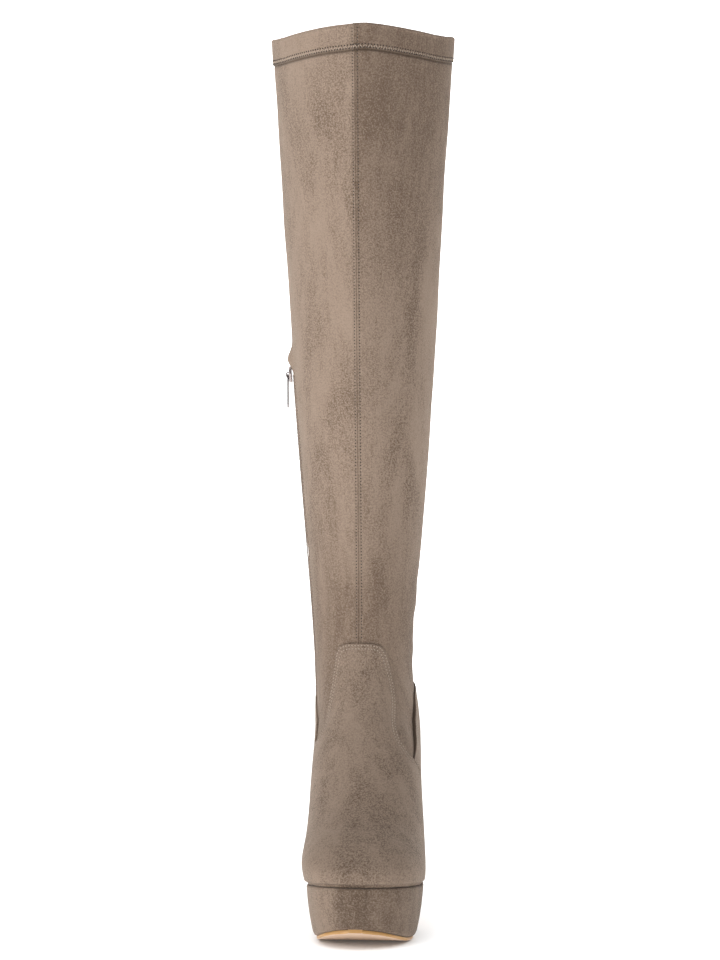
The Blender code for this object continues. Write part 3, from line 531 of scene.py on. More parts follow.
def zip_relief(z, from_zip):
    """Fabric folded to the zip's two sides, and the bulge over its top end."""
    beside = smooth_step(z, ZIP_BOTTOM - ZIP_FADE[0], ZIP_BOTTOM) * smooth_step(
        -z, -ZIP_TOP - ZIP_FADE[1], -ZIP_TOP)
    away = np.abs(from_zip)
    lips = ZIP_LIP * bump(away - ZIP_LIP_AT, ZIP_LIP_REACH)
    dent = STITCH_DENT * bump(away - ZIP_LIP_AT - ZIP_STITCH_OUT, DENT_REACH)
    bulge = (BULGE_HEIGHT * bump(z - ZIP_TOP - BULGE_ABOVE, BULGE_REACH[1])
             * bump(from_zip, BULGE_REACH[0]))
    return beside * (lips - dent) + bulge


def leg_relief(arc, half_arc, points, from_zip):
    """Everything that stands off or sinks into the leg's skin."""
    z = points[..., 2]
    fast, slow = HEM_WAVES_A_METRE
    hem_at = HEIGHT - HEM_HEIGHT + HEM_WAVE * np.sin(arc * fast) * np.sin(arc * slow + 1)
    on_leg = smooth_step(z, ANKLE_HEIGHT * LEG_FADE[0], ANKLE_HEIGHT * LEG_FADE[1])
    hem = HEM_STEP * smooth_step(z, hem_at - HEM_EDGE[0], hem_at + HEM_EDGE[1])
    hem_dent = STITCH_DENT * bump(z - hem_at - HEM_STITCH_UP, HEM_DENT_REACH)
    under = HEM_CREASE * bump(z - hem_at + HEM_CREASE_DOWN, HEM_CREASE_REACH)
    seams = seam_relief(arc) + seam_relief(half_arc - np.abs(arc))
    return (hem - hem_dent - under + on_leg * seams + zip_relief(z, from_zip)
            + on_leg * crease_relief(points, arc, half_arc))


print("creases", len(CREASE_ROWS))

# %% [markdown]
# The shaft and foot
#
# The real upper is one sleeve, sewn from two leg panels and closed round the last. It is made
# here as a grid of rings: down the outside, and up the inside as the lining, with the turned
# rim between them. The rings' columns bunch at the seams and the zip, where the relief is
# fine, and lie wide elsewhere. A subdivision surface would smooth a coarse grid too, but it
# would also round the seams away.

# %% Lay out rings and columns
SEAM_COLUMNS = (0.0, 0.35, 0.75, 1.2, 1.6, 1.9, 2.3, 3.0, 4.4)
ZIP_COLUMNS = (0.0, 1.5, 2.6, 3.3, 4.0, 4.8, 5.6, 6.2, 6.7, 7.4, 9.0, 12.0)
OUTER_FILL = 40
INNER_FILL = (20, 14)
CROWDED_HALF_GIRTH = 0.095
ZIP_MARGIN = 1.6


def zip_arcs(girth):
    """Distance of the zip's line from the front middle, on every ring."""
    found = []
    inner = MEASURE_COLUMNS // 2
    for row in range(len(girth.places)):
        y = girth.grid[row, :inner + 1, 1]
        arc = girth.arc[row, :inner + 1]
        level = np.clip(ZIP_Y, y.min(), y.max())
        order = np.argsort(-y)
        found.append(np.interp(-level, -y[order], arc[order]))
    return np.array(found)


def ring_columns(half_front, half_back, zip_arc, crowd):
    """Distances from the front middle of one ring's columns, starting at the inner back."""
    seam = np.array(SEAM_COLUMNS) * MM * crowd
    beside_zip = np.array(ZIP_COLUMNS) * MM * crowd
    low = -half_back + seam[-1]
    high = -seam[-1]
    margin = beside_zip[-1] * ZIP_MARGIN
    centre = np.clip(zip_arc, low + margin, high - margin)
    cluster = np.concatenate((-beside_zip[::-1], beside_zip[1:])) + centre
    back = -half_back + seam
    fill_back = np.linspace(back[-1], cluster[0], INNER_FILL[1] + 2)[1:-1]
    fill_front = np.linspace(cluster[-1], high, INNER_FILL[0] + 2)[1:-1]
    front = np.concatenate((-seam[::-1], seam[1:]))
    fill_outer = np.linspace(seam[-1], half_front - seam[-1], OUTER_FILL + 2)[1:-1]
    end = half_front - seam[::-1]
    return np.concatenate((back, fill_back, cluster, fill_front, front, fill_outer, end[:-1]))


# across the front from the inner to the outer side, and how far the collar's edge dips there
COLLAR_DIP = ((-1.00, 0.0), (-0.93, 0.0020), (-0.82, 0.0029), (-0.60, 0.0023),
              (-0.35, 0.0016), (-0.20, 0.0013), (-0.09, 0.0013), (0.00, 0.0006), (0.12, 0.0),
              (0.30, 0.0006), (0.55, 0.0018), (0.82, 0.0028), (0.93, 0.0020), (1.00, 0.0))
DIP_REACH = 0.060
DIP_SIDE = 0.004
HEM_DIP = 0.0012


def collar_dip(points):
    """The collar's front edge dips a little to each side of its middle."""
    ring = points[0]
    middle = (ring[:, 0].max() + ring[:, 0].min()) / 2
    reach = np.ptp(ring[:, 0]) / 2
    table = np.array(COLLAR_DIP)
    across = (points[..., 0] - middle) / reach
    front = smooth_step(-points[..., 1], -ring[:, 1].mean() - DIP_SIDE,
                        -ring[:, 1].mean())
    near = smooth_step(points[..., 2], HEIGHT - DIP_REACH, HEIGHT - HEM_HEIGHT)
    top = smooth_step(points[..., 2], HEIGHT - HEM_HEIGHT, HEIGHT)
    hem = HEM_DIP * front * near * (1 - top)
    return np.interp(across, table[:, 0], table[:, 1]) * front * near + hem


def leg_grid(places):
    """Skin points, normals, arcs and zip distances on rings at these places."""
    girth = Girth(places)
    zips = zip_arcs(girth)
    around, arcs = [], []
    for row in range(len(places)):
        half_back = -girth.arc[row, 0]
        half_front = girth.arc[row, -1]
        crowd = min(1.0, half_front / CROWDED_HALF_GIRTH)
        arc = ring_columns(half_front, half_back, zips[row], crowd)
        arcs.append(arc)
        around.append(girth.around(row, arc))
    around = np.array(around)
    arcs = np.array(arcs)
    spread = spread_over(places, around.shape[1])
    points = skin_points(spread, around)
    normals = skin_normals(spread, around) * NORMAL_SIGN
    half = spread_over(girth.arc[:, -1], around.shape[1])
    return points, normals, arcs, half, arcs - zips[:, None], around


RIM_DROPS = (0.0, 0.0013, 0.004)
# first and last distance, and step: from the collar and the hem, then from the hem
COLLAR_RINGS = (0.007, 0.0042, 0.0024)
HEM_RINGS = (0.0036, 0.0030, 0.0005)
RING_SPACING = 0.0026


def leg_places():
    """Rings of the leg and foot, close together at the hem, the zip's top and the ankle."""
    hem = HEIGHT - HEM_HEIGHT
    heights = [HEIGHT - drop for drop in RIM_DROPS]
    heights += list(np.arange(HEIGHT - COLLAR_RINGS[0], hem + COLLAR_RINGS[1], -COLLAR_RINGS[2]))
    heights += list(np.arange(hem + HEM_RINGS[0], hem - HEM_RINGS[1], -HEM_RINGS[2]))
    tops = [place_at_height(z) for z in heights]
    rest = even_places(tops[-1] + PLACE_GAP, LAST_ROW, RING_SPACING)
    return np.array(tops + list(rest))


RINGS = leg_places()
LEG_POINTS, LEG_NORMALS, LEG_ARCS, LEG_HALF, LEG_ZIP, LEG_AROUND = leg_grid(RINGS)
LEG_RELIEF = leg_relief(LEG_ARCS, LEG_HALF, LEG_POINTS, LEG_ZIP)
LEG_LEVEL = LEG_POINTS[..., 2].copy()
LEG_POINTS[..., 2] -= collar_dip(LEG_POINTS)
print("rings", LEG_POINTS.shape[0], "columns", LEG_POINTS.shape[1])

# %% Build the sleeve
OPEN_ROWS = (FIRST_FOOT_ROW + 8, FIRST_FOOT_ROW + 18)
OPEN_AROUND = 1 - (1 - SIDE_ZONE) * 2 / 3
RIM_STEPS = 6
SHARP_ANGLE = 40


def finish_piece(name, verts, faces, made_of, smooth_angle=None):
    """Smooth shaded mesh object at the origin, sharp only past the given angle."""
    mesh = bpy.data.meshes.new(name)
    mesh.from_pydata([tuple(v) for v in verts], [], faces)
    mesh.validate()
    if isinstance(made_of, (list, tuple)):
        for one in made_of:
            mesh.materials.append(one)
    else:
        mesh.materials.append(made_of)
    mesh.shade_smooth()
    if smooth_angle is not None:
        mesh.set_sharp_from_angle(angle=math.radians(smooth_angle))
    return linked(name, mesh)


def outwards(item):
    """Turn a closed piece's faces outwards."""
    bm = bmesh.new()
    bm.from_mesh(item.data)
    bmesh.ops.recalc_face_normals(bm, faces=bm.faces[:])
    bm.to_mesh(item.data)
    bm.free()
    return item


def declare(item, body, slot, *nodes):
    """Hand a finished piece to the frame."""
    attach(item, body)
    if nodes:
        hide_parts(*nodes)
    tris = sum(len(p.vertices) - 2 for p in item.data.polygons)
    print(item.name, "triangles", tris)
    return item


def grid_faces(rows, columns, closed, first=0, skip=None):
    faces = []
    for r in range(rows - 1):
        for c in range(columns if closed else columns - 1):
            if skip is not None and skip(r, c):
                continue
            n = (c + 1) % columns
            a = first + r * columns
            faces.append((a + c, a + n, a + columns + n, a + columns + c))
    return faces


def shell(outer, inner):
    """Vertices and faces of a closed sheet between two grids of points."""
    rows, columns = outer.shape[:2]
    half = rows * columns
    verts = np.concatenate((outer.reshape(-1, 3), inner.reshape(-1, 3)))
    top = grid_faces(rows, columns, False)
    faces = list(top) + [tuple(v + half for v in face[::-1]) for face in top]
    rim = list(range(columns)) + [r * columns + columns - 1 for r in range(1, rows)]
    rim += [half - 2 - c for c in range(columns - 1)]
    rim += [r * columns for r in range(rows - 2, 0, -1)]
    faces += [(a, b, b + half, a + half) for a, b in zip(rim, rim[1:] + rim[:1])]
    return verts, faces


def make_sleeve(suede_finish, lining):
    """Outer skin, lining and turned rim, open under the foot inside its margin."""
    rows, columns = LEG_POINTS.shape[:2]
    outer = LEG_POINTS + LEG_NORMALS * LEG_RELIEF[..., None]
    inner = LEG_POINTS - LEG_NORMALS * WALL
    middle = (outer[0] + inner[0]) / 2
    reach = (outer[0] - inner[0]) / 2
    rise = np.linalg.norm(reach, axis=1)[:, None] * np.array((0.0, 0.0, 1.0))
    rim = []
    for step in range(1, RIM_STEPS):
        angle = math.pi * step / RIM_STEPS
        rim.append(middle + reach * math.cos(angle) + rise * math.sin(angle))
    drop = np.array((0.0, 0.0, float(rise[:, 2].max())))
    outer[0] -= drop
    inner[0] -= drop
    rim = [ring - drop for ring in rim]
    opened = (RINGS[:, None] >= OPEN_ROWS[0]) & (RINGS[:, None] < OPEN_ROWS[1]) & (
        np.abs(LEG_AROUND) > OPEN_AROUND)

    def skip(r, c):
        n = (c + 1) % columns
        return opened[r, c] and opened[r, n] and opened[r + 1, c] and opened[r + 1, n]

    verts = np.concatenate((outer.reshape(-1, 3), inner.reshape(-1, 3),
                            np.array(rim).reshape(-1, 3)))
    half = rows * columns
    outer_faces = grid_faces(rows, columns, True, 0, skip)
    faces = [face[::-1] for face in outer_faces]
    faces += [tuple(v + half for v in face) for face in outer_faces]
    for ends in (range(half - columns, half), range(2 * half - 1, 2 * half - 1 - columns, -1)):
        faces.append(tuple(ends))
    loops = [range(0, columns)]
    loops += [range(2 * half + k * columns, 2 * half + (k + 1) * columns)
              for k in range(RIM_STEPS - 1)]
    loops.append(range(half, half + columns))
    for a, b in zip(loops, loops[1:]):
        for c in range(columns):
            n = (c + 1) % columns
            faces.append((a[c], a[n], b[n], b[c]))
    edges = {}
    for face in outer_faces:
        for a, b in zip(face, face[1:] + face[:1]):
            edges[tuple(sorted((a, b)))] = edges.get(tuple(sorted((a, b))), 0) + 1
    for (a, b), times in edges.items():
        inside = columns <= a < half - columns or columns <= b < half - columns
        if times == 1 and inside:
            faces.append((a, b, b + half, a + half))
    sleeve = outwards(finish_piece("shaft_and_foot", verts, faces, [suede_finish, lining]))
    lined = 2 * half - 1
    for poly in sleeve.data.polygons:
        if all(half <= v <= lined for v in poly.vertices):
            poly.material_index = 1
    return sleeve


# %% [markdown]
# Suede
#
# Faux suede is a dense, short nap. It has no gloss, but its fibres catch light at grazing
# angles, so edges look dusty and bright. Where the nap is brushed another way it looks
# darker, in soft patches. The outer half of the leg is darker up high, partly because its nap
# runs its own way and partly as painted shade. Painted shade also darkens the ankle, the
# platform's outer side, the seams and the overlays' edges. Patches, streaks and specks are
# noises of different sizes here, mixed into the colour, with a fine bump for the fibres and
# the shader's sheen for the dusty edges.

# %% Nodes for a brushed nap
GRAIN = 1500.0
SPECK = 780.0
STREAK = 120.0
PATCH = 17.0
SMUDGE = 57.8
PATCH_SHARE = 0.26
SMUDGE_SHARE = 0.16
STREAK_SHARE = 0.06
ROUGH_SHARE = 0.72
BASE_SHADE = 0.22
# the specks' mean, taken off so that they don't darken, and their strength where no patch is
ROUGH_MIDDLE = 0.57
ROUGH_LEAST = 0.45


class Nodes:
    """Short hand for building a material's node tree."""

    def __init__(self, name):
        self.material = bpy.data.materials.new(name)
        self.material.use_nodes = True
        self.tree = self.material.node_tree
        self.shader = self.tree.nodes["Principled BSDF"]
        self.place = self.tree.nodes.new("ShaderNodeTexCoord").outputs["Object"]

    def link(self, start, end):
        self.tree.links.new(start, end)

    def stretched(self, scale):
        node = self.tree.nodes.new("ShaderNodeMapping")
        node.inputs["Scale"].default_value = scale
        self.link(self.place, node.inputs["Vector"])
        return node.outputs["Vector"]

    def noise(self, scale, detail=3.0, rough=0.55, place=None, distortion=0.0):
        node = self.tree.nodes.new("ShaderNodeTexNoise")
        node.inputs["Scale"].default_value = scale
        node.inputs["Detail"].default_value = detail
        node.inputs["Roughness"].default_value = rough
        node.inputs["Distortion"].default_value = distortion
        self.link(place or self.place, node.inputs["Vector"])
        return node.outputs["Fac"]

    def curve(self, value, low, high, to_low=0.0, to_high=1.0):
        node = self.tree.nodes.new("ShaderNodeMapRange")
        node.interpolation_type = "SMOOTHSTEP"
        for key, number in zip(("From Min", "From Max", "To Min", "To Max"),
                               (low, high, to_low, to_high)):
            node.inputs[key].default_value = number
        self.link(value, node.inputs["Value"])
        return node.outputs["Result"]

    def math(self, operation, a, b):
        node = self.tree.nodes.new("ShaderNodeMath")
        node.operation = operation
        for socket, value in zip(node.inputs, (a, b)):
            if isinstance(value, (int, float)):
                socket.default_value = value
            else:
                self.link(value, socket)
        return node.outputs["Value"]

    def blend(self, factor, a, b):
        node = self.tree.nodes.new("ShaderNodeMix")
        node.data_type = "RGBA"
        for key, value in zip((0, 6, 7), (factor, a, b)):
            socket = node.inputs[key]
            if isinstance(value, tuple):
                socket.default_value = (*value, 1.0)
            elif isinstance(value, (int, float)):
                socket.default_value = value
            else:
                self.link(value, socket)
        return node.outputs[2]

    def attribute(self, name):
        node = self.tree.nodes.new("ShaderNodeAttribute")
        node.attribute_name = name
        return node.outputs["Fac"]

    def bump(self, height, strength, distance, before=None):
        node = self.tree.nodes.new("ShaderNodeBump")
        node.inputs["Strength"].default_value = strength
        node.inputs["Distance"].default_value = distance
        self.link(height, node.inputs["Height"])
        if before is not None:
            self.link(before, node.inputs["Normal"])
        return node.outputs["Normal"]

    def colour(self, value):
        self.link(value, self.shader.inputs["Base Color"])

    def normal(self, value):
        self.link(value, self.shader.inputs["Normal"])

    def put(self, name, value):
        """Value that is the same all over, on the shader's own socket."""
        self.shader.inputs[name].default_value = value

    def sum_of(self, *parts):
        """Sum of several values, each times its share."""
        total = None
        for value, share in parts:
            part = self.math("MULTIPLY", value, share)
            total = part if total is None else self.math("ADD", total, part)
        return total


def suede(name, light, dark, nap_and_painted_shade=0.0):
    """Brushed suede, darkened by painted shade from the piece's "edge" attribute, and by its
    "nap_and_painted_shade" attribute times that much, partly nap tone and partly painted shade.
    """
    n = Nodes(name)
    long_way = n.stretched((1.0, 1.0, 0.32))
    patch = n.curve(n.noise(PATCH, 5.0, 0.66, long_way, 0.7), 0.36, 0.66)
    smudge = n.curve(n.noise(SMUDGE, 4.0, 0.66, long_way, 0.5), 0.44, 0.70)
    streak = n.curve(n.noise(STREAK, 3.0, 0.6, n.stretched((1.0, 1.0, 0.22))), 0.3, 0.7)
    speck = n.curve(n.noise(SPECK, 2.0, 0.7), 0.32, 0.68)
    grain = n.curve(n.noise(GRAIN, 2.0, 0.7), 0.30, 0.70)
    patchy = n.sum_of((patch, 0.7), (smudge, 0.5))
    rough = n.sum_of((speck, 0.62), (grain, 0.52))
    rough = n.math("MULTIPLY", n.math("SUBTRACT", rough, ROUGH_MIDDLE),
                   n.math("ADD", patchy, ROUGH_LEAST))
    shade = n.sum_of((patch, PATCH_SHARE), (smudge, SMUDGE_SHARE), (streak, STREAK_SHARE),
                     (rough, ROUGH_SHARE))
    shade = n.math("ADD", shade, BASE_SHADE)
    # painted shade, partly the nap's own tone, read from the piece's attribute
    if nap_and_painted_shade:
        shade = n.math("ADD", shade, n.math("MULTIPLY", n.attribute("nap_and_painted_shade"), nap_and_painted_shade))
    shade = n.curve(shade, 0.0, 1.0)
    worn = n.blend(shade, light, dark)
    # painted shade from the "edge" attribute: under the hem, along seams and the zip, at overlay
    # edges and stitch rows
    n.colour(n.blend(n.math("MULTIPLY", n.attribute("edge"), 0.85), worn,
                     shaded(dark, PAINTED_SHADE_TONE)))
    fibres = n.noise(GRAIN * 1.3, 3.0, 0.7, n.stretched((1.0, 1.0, 0.6)))
    lumps = n.bump(speck, 0.22, 0.0004)
    n.normal(n.bump(fibres, 0.6, 0.0005, lumps))
    n.put("Roughness", 0.95)
    n.put("Specular IOR Level", 0.12)
    n.put("Sheen Weight", 0.25)
    n.put("Sheen Roughness", 0.42)
    n.put("Sheen Tint", (0.93, 0.86, 0.78, 1.0))
    return n.material


LIGHT_NAP = (0.360, 0.271, 0.208)
DARK_NAP = (0.150, 0.104, 0.074)
# the dark tone that painted shade reaches
PAINTED_SHADE_TONE = 0.38


def shaded(colour, factor):
    return tuple(value * factor for value in colour)


SHAFT_SUEDE = suede("shaft_suede", LIGHT_NAP, DARK_NAP, nap_and_painted_shade=0.34)
# vamp, quarter and wrap: darker copies of the shaft's suede, painted shade for the dimmer light
# low down
VAMP_SUEDE = suede("vamp_suede", shaded(LIGHT_NAP, 0.90), shaded(DARK_NAP, 0.80))
QUARTER_SUEDE = suede("quarter_suede", shaded(LIGHT_NAP, 0.86), shaded(DARK_NAP, 0.80))
WRAP_SUEDE = suede("wrapped_suede", shaded(LIGHT_NAP, 0.90), shaded(DARK_NAP, 0.74),
                   nap_and_painted_shade=0.27)

# %% Lining cloth
THREADS = 1500.0


def lining_cloth():
    """Knitted lining: fine ribs that run up the leg, a little darker than the suede."""
    n = Nodes("lining_cloth")
    ribs = n.noise(THREADS, 2.0, 0.5, n.stretched((1.0, 1.0, 0.15)))
    patch = n.noise(PATCH, 3.0, 0.5)
    tone = n.sum_of((ribs, 0.5), (patch, 0.4))
    n.colour(n.blend(tone, (0.36, 0.29, 0.24), (0.20, 0.155, 0.125)))
    n.normal(n.bump(ribs, 0.5, 0.0004))
    n.put("Roughness", 0.9)
    n.put("Sheen Weight", 0.2)
    return n.material


LINING = lining_cloth()
sleeve = make_sleeve(SHAFT_SUEDE, LINING)

# %% Shade the two leg panels and the seam lines
SEAM_FADE = 0.0004
HIGH_BAND = (0.42, 0.66)
HIGH_NAP_AND_PAINTED_SHADE = 0.75
ANKLE_BAND = (0.36, 0.23)
ANKLE_PAINTED_SHADES = (0.75, 0.70)
GROOVE_SHADE = 0.9
HEM_SHADOW = 0.0013
SEAM_SHADOWS = (0.0004, 0.0005)
SEAM_SHADOW_SHARE = 0.35
ZIP_SHADOW_AT = 0.0034
ZIP_SHADOW = 0.0006
ZIP_SHADOW_TOP = 0.004
ZIP_SHADOW_SHARE = 0.7


def leg_nap_and_painted_shade(points):
    """0 on the inner leg half and up to 1 on the outer one. High up, the outer half is darker,
    partly because its nap runs another way and partly as painted shade away from the key light.

    Both halves are painted darker down at the ankle, as shade for the dimmer light low down.
    """
    outer = smooth_step(points[:, 0], -SEAM_FADE, SEAM_FADE)
    high = smooth_step(points[:, 2], *HIGH_BAND)
    ankle = smooth_step(-points[:, 2], -ANKLE_BAND[0], -ANKLE_BAND[1])
    return outer * mix(0.0, HIGH_NAP_AND_PAINTED_SHADE, high) + mix(*ANKLE_PAINTED_SHADES, outer) * ankle


def groove_shade():
    """Painted shadow where the sleeve's folds and seams would hold it, on its outer skin."""
    z = LEG_LEVEL
    hem = bump(z - HEIGHT + HEM_HEIGHT + HEM_CREASE_DOWN, HEM_SHADOW)
    seam = (bump(LEG_ARCS, SEAM_SHADOWS[0])
            + bump(LEG_HALF - np.abs(LEG_ARCS), SEAM_SHADOWS[1]))
    below_top = smooth_step(-z, -ZIP_TOP - ZIP_SHADOW_TOP, -ZIP_TOP)
    along_zip = bump(np.abs(LEG_ZIP) - ZIP_SHADOW_AT, ZIP_SHADOW) * below_top
    return GROOVE_SHADE * np.clip(hem + SEAM_SHADOW_SHARE * seam + ZIP_SHADOW_SHARE * along_zip,
                                  0, 1)


def set_attribute(item, name, values):
    made = item.data.attributes.new(name, "FLOAT", "POINT")
    made.data.foreach_set("value", np.asarray(values, float).ravel())


def corners(item):
    return np.array([corner.co[:] for corner in item.data.vertices])


# painted shade on the sleeve: the outer half darker high up, partly nap, and both halves darker
# at the ankle
set_attribute(sleeve, "nap_and_painted_shade", leg_nap_and_painted_shade(corners(sleeve)))
# painted shadow under the hem, along the seams and beside the zip
groove_shadows = np.zeros(len(sleeve.data.vertices))
groove_shadows[:LEG_ARCS.size] = groove_shade().ravel()
set_attribute(sleeve, "edge", groove_shadows)
declare(sleeve, "boot", "suede", "upper")

# %% [markdown]
# Vamp and quarter
#
# Over the sleeve a maker stitches two stronger pieces: the vamp, with a round tongue up the
# instep, and the quarter round heel and ankle. Their outlines are drawn as the pattern cutter
# sees them, from the front and from the side. Cutting them out with a Boolean leaves a sharp
# paper edge. Here each ring of the last is walked until it meets the outline, so the edge is
# a clean row of points and can be rolled over as a skived edge is.

# %% Outlines of the overlays
# height (share of the ankle's), half widths to the inner and outer side (shares of the
# ankle's width)
TONGUE_ROWS = ((1.068, 0.000, 0.000), (1.066, 0.120, 0.130), (1.056, 0.200, 0.215),
               (1.030, 0.238, 0.262), (0.970, 0.259, 0.306), (0.900, 0.278, 0.345),
               (0.850, 0.303, 0.366), (0.775, 0.322, 0.374), (0.735, 0.350, 0.392),
               (0.690, 0.432, 0.445), (0.675, 0.900, 0.475), (0.651, 0.900, 0.505),
               (0.640, 0.900, 0.900), (0.000, 0.900, 0.900))
TONGUE_BACK = 0.25
# distance from the heel's back (share of the foot) and height (share of the way from the
# feather line to the ankle), on each side
OUTER_EDGE = ((0.500, 0.452), (0.484, 0.420), (0.468, 0.389), (0.452, 0.304), (0.444, 0.186),
              (0.442, 0.000))
INNER_EDGE = ((0.392, 0.487), (0.368, 0.398), (0.354, 0.296), (0.355, 0.183), (0.354, 0.080),
              (0.358, 0.000))
OUTER_TOP = ((-0.060, 0.831), (0.080, 0.802), (0.200, 0.772), (0.280, 0.725),
             (0.370, 0.545), (0.450, 0.470))
INNER_TOP = ((-0.060, 0.831), (0.080, 0.802), (0.180, 0.768), (0.250, 0.719),
             (0.300, 0.628), (0.350, 0.550))
OVERLAY_LIFT = 0.0024
SOLE_SAMPLES = 400
FIRST_SOLE_ROW = 6


def sole_height(y):
    """Height of the last's underside at a distance along the foot."""
    places = np.linspace(FIRST_FOOT_ROW + FIRST_SOLE_ROW, LAST_ROW, SOLE_SAMPLES)
    s = slices_at(places)
    return np.interp(-y, -s["sole_y"], s["sole_z"])


def tongue_half_width(z, outer):
    rows = np.array(TONGUE_ROWS)[::-1]
    width = rows[:, 2 if outer else 1]
    return np.interp(z, rows[:, 0] * ANKLE_HEIGHT, width * ANKLE_WIDTH)


def side_line(table):
    """Points (y, z) of a line given in shares, in the side view."""
    rows = np.array(table)
    y = HEEL_BACK_Y - rows[:, 0] * FOOT_LENGTH
    low = sole_height(y) + OVERLAY_LIFT
    return np.stack((y, mix(low, ANKLE_HEIGHT, rows[:, 1])), 1)


SIDE_LINES = {True: (side_line(OUTER_EDGE), side_line(OUTER_TOP)),
              False: (side_line(INNER_EDGE), side_line(INNER_TOP))}


def edge_y(z, edge):
    return np.interp(z, edge[::-1, 1], edge[::-1, 0])


def in_vamp(points):
    """How far inside the vamp's outline each point is (positive inside, in metres)."""
    x, y, z = points[..., 0], points[..., 1], points[..., 2]
    across = np.where(x > 0, tongue_half_width(z, True), tongue_half_width(z, False))
    front = np.minimum(across - np.abs(x), TONGUE_ROWS[0][0] * ANKLE_HEIGHT - z)
    back_y = HEEL_BACK_Y - TONGUE_BACK * FOOT_LENGTH
    sides = []
    for outer in (True, False):
        edge = SIDE_LINES[outer][0]
        sides.append(np.where(z < edge[0, 1], edge_y(z, edge) - y, back_y - y))
    return np.minimum(front, np.where(x > 0, sides[0], sides[1]))


def in_quarter(points):
    """The same for the quarter: behind the vamp's edge and under its own top line."""
    x, y, z = points[..., 0], points[..., 1], points[..., 2]
    found = []
    for outer in (True, False):
        edge, top = SIDE_LINES[outer]
        line = np.concatenate((top, edge[:1]))[::-1]
        roof = np.interp(y, line[:, 0], line[:, 1])
        found.append(np.minimum(y - edge_y(z, edge) - GAP, roof - z))
    return np.where(x > 0, found[0], found[1])


def over_sole(points):
    return points[..., 2] - sole_height(points[..., 1]) - OVERLAY_LIFT


# %% Walk the rings to the outlines
WALK = 400
EDGE_COLUMNS = (0.0, 0.12, 0.28, 0.5, 0.8, 1.2, 1.8, 2.6, 3.6, 5.0)


def crossing(values, around):
    """First place along a walk where the value turns negative, or None if it never does."""
    below = np.nonzero(values < 0)[0]
    if len(below) == 0:
        return around[-1]
    k = below[0]
    if k == 0:
        return None
    t = values[k - 1] / (values[k - 1] - values[k])
    return mix(around[k - 1], around[k], t)


def skin_point(place, around):
    return skin_points(np.array([place]), np.array([around]))[0]


def vamp_limits(place, side):
    around = np.linspace(0, 1, WALK) * side
    points = skin_points(np.full(WALK, place), around)
    return crossing(np.minimum(in_vamp(points), over_sole(points)), around)


def quarter_limits(place, side):
    """From the back or the feather line forward to the quarter's front edge."""
    around = np.linspace(1, 0, WALK) * side
    points = skin_points(np.full(WALK, place), around)
    above = over_sole(points)
    start = np.nonzero(above > 0)[0]
    if len(start) == 0:
        return None
    k = start[0]
    first = around[0]
    if k > 0:
        first = mix(around[k - 1], around[k], -above[k - 1] / (above[k] - above[k - 1]))
    last = crossing(in_quarter(points)[k:], around[k:])
    return None if last is None else (first, last)


def overlay_columns(count, ends, length):
    """Shares of a run of columns that crowd at its ends, where the edge rolls over."""
    near = np.array(EDGE_COLUMNS) * MM
    near = near * min(1.0, length / (5 * near[-1]))
    low = near if ends[0] else near[:1]
    high = length - (near if ends[1] else near[:1])[::-1]
    fill = np.linspace(low[-1], high[0], count - len(low) - len(high) + 2)[1:-1]
    return np.concatenate((low, fill, high)) / length


def ring_run(place, start, end, count, ends):
    """Columns from start to end round one ring, spaced by real distance."""
    girth = Girth([place])
    a = girth.arc_at(0, start)
    b = girth.arc_at(0, end)
    shares = overlay_columns(count, ends, max(abs(b - a), 1e-6))
    return girth.around(0, a + (b - a) * shares)


print("tongue top at", round(TONGUE_ROWS[0][0] * ANKLE_HEIGHT, 4), "m")

# %% Roll the edge of an overlay
EDGE_ROLL = 0.0011
EDGE_ROWS = (0.0018, 0.0044)
ROW_DENT_REACH = 0.0007
ROW_SHADE = 0.30
ROW_SHADE_REACH = 0.0006
EDGE_SHADE = 0.95
EDGE_SHADE_REACH = 0.00045
INSIDE_SHADE = 0.9
PROUD_FADE = 0.0002
WELD = 0.00004
OVERLAY_SEAT = 0.0001


def dense(line, spacing=0.0004):
    """More points along a line, so that distances to it are true."""
    found = []
    for a, b in zip(line, line[1:]):
        count = max(1, int(np.linalg.norm(b - a) / spacing))
        found += [mix(a, b, k / count) for k in range(count)]
    return found + [line[-1]]


def edge_distance(points, lines):
    """Distance of each point from the nearest of several lines."""
    edge = [point for line in lines if len(line) > 1 for point in dense(line)]
    tree = KDTree(len(edge))
    for k, point in enumerate(edge):
        tree.insert(point, k)
    tree.balance()
    flat = points.reshape(-1, 3)
    return np.array([tree.find(p)[2] for p in flat]).reshape(points.shape[:-1])


def toe_cap(skin, push):
    """More rows after the last ring, which close it in a small dome at the toe's tip."""
    last = skin[-1]
    middle = (last[0] + last[-1]) / 2
    rows = []
    for step in range(1, TOE_CAP_STEPS + 1):
        angle = math.pi / 2 * step / TOE_CAP_STEPS
        rows.append(middle + (last - middle) * math.cos(angle)
                    + np.array((0.0, -push, 0.0)) * math.sin(angle))
    return np.concatenate((skin, np.array(rows)))


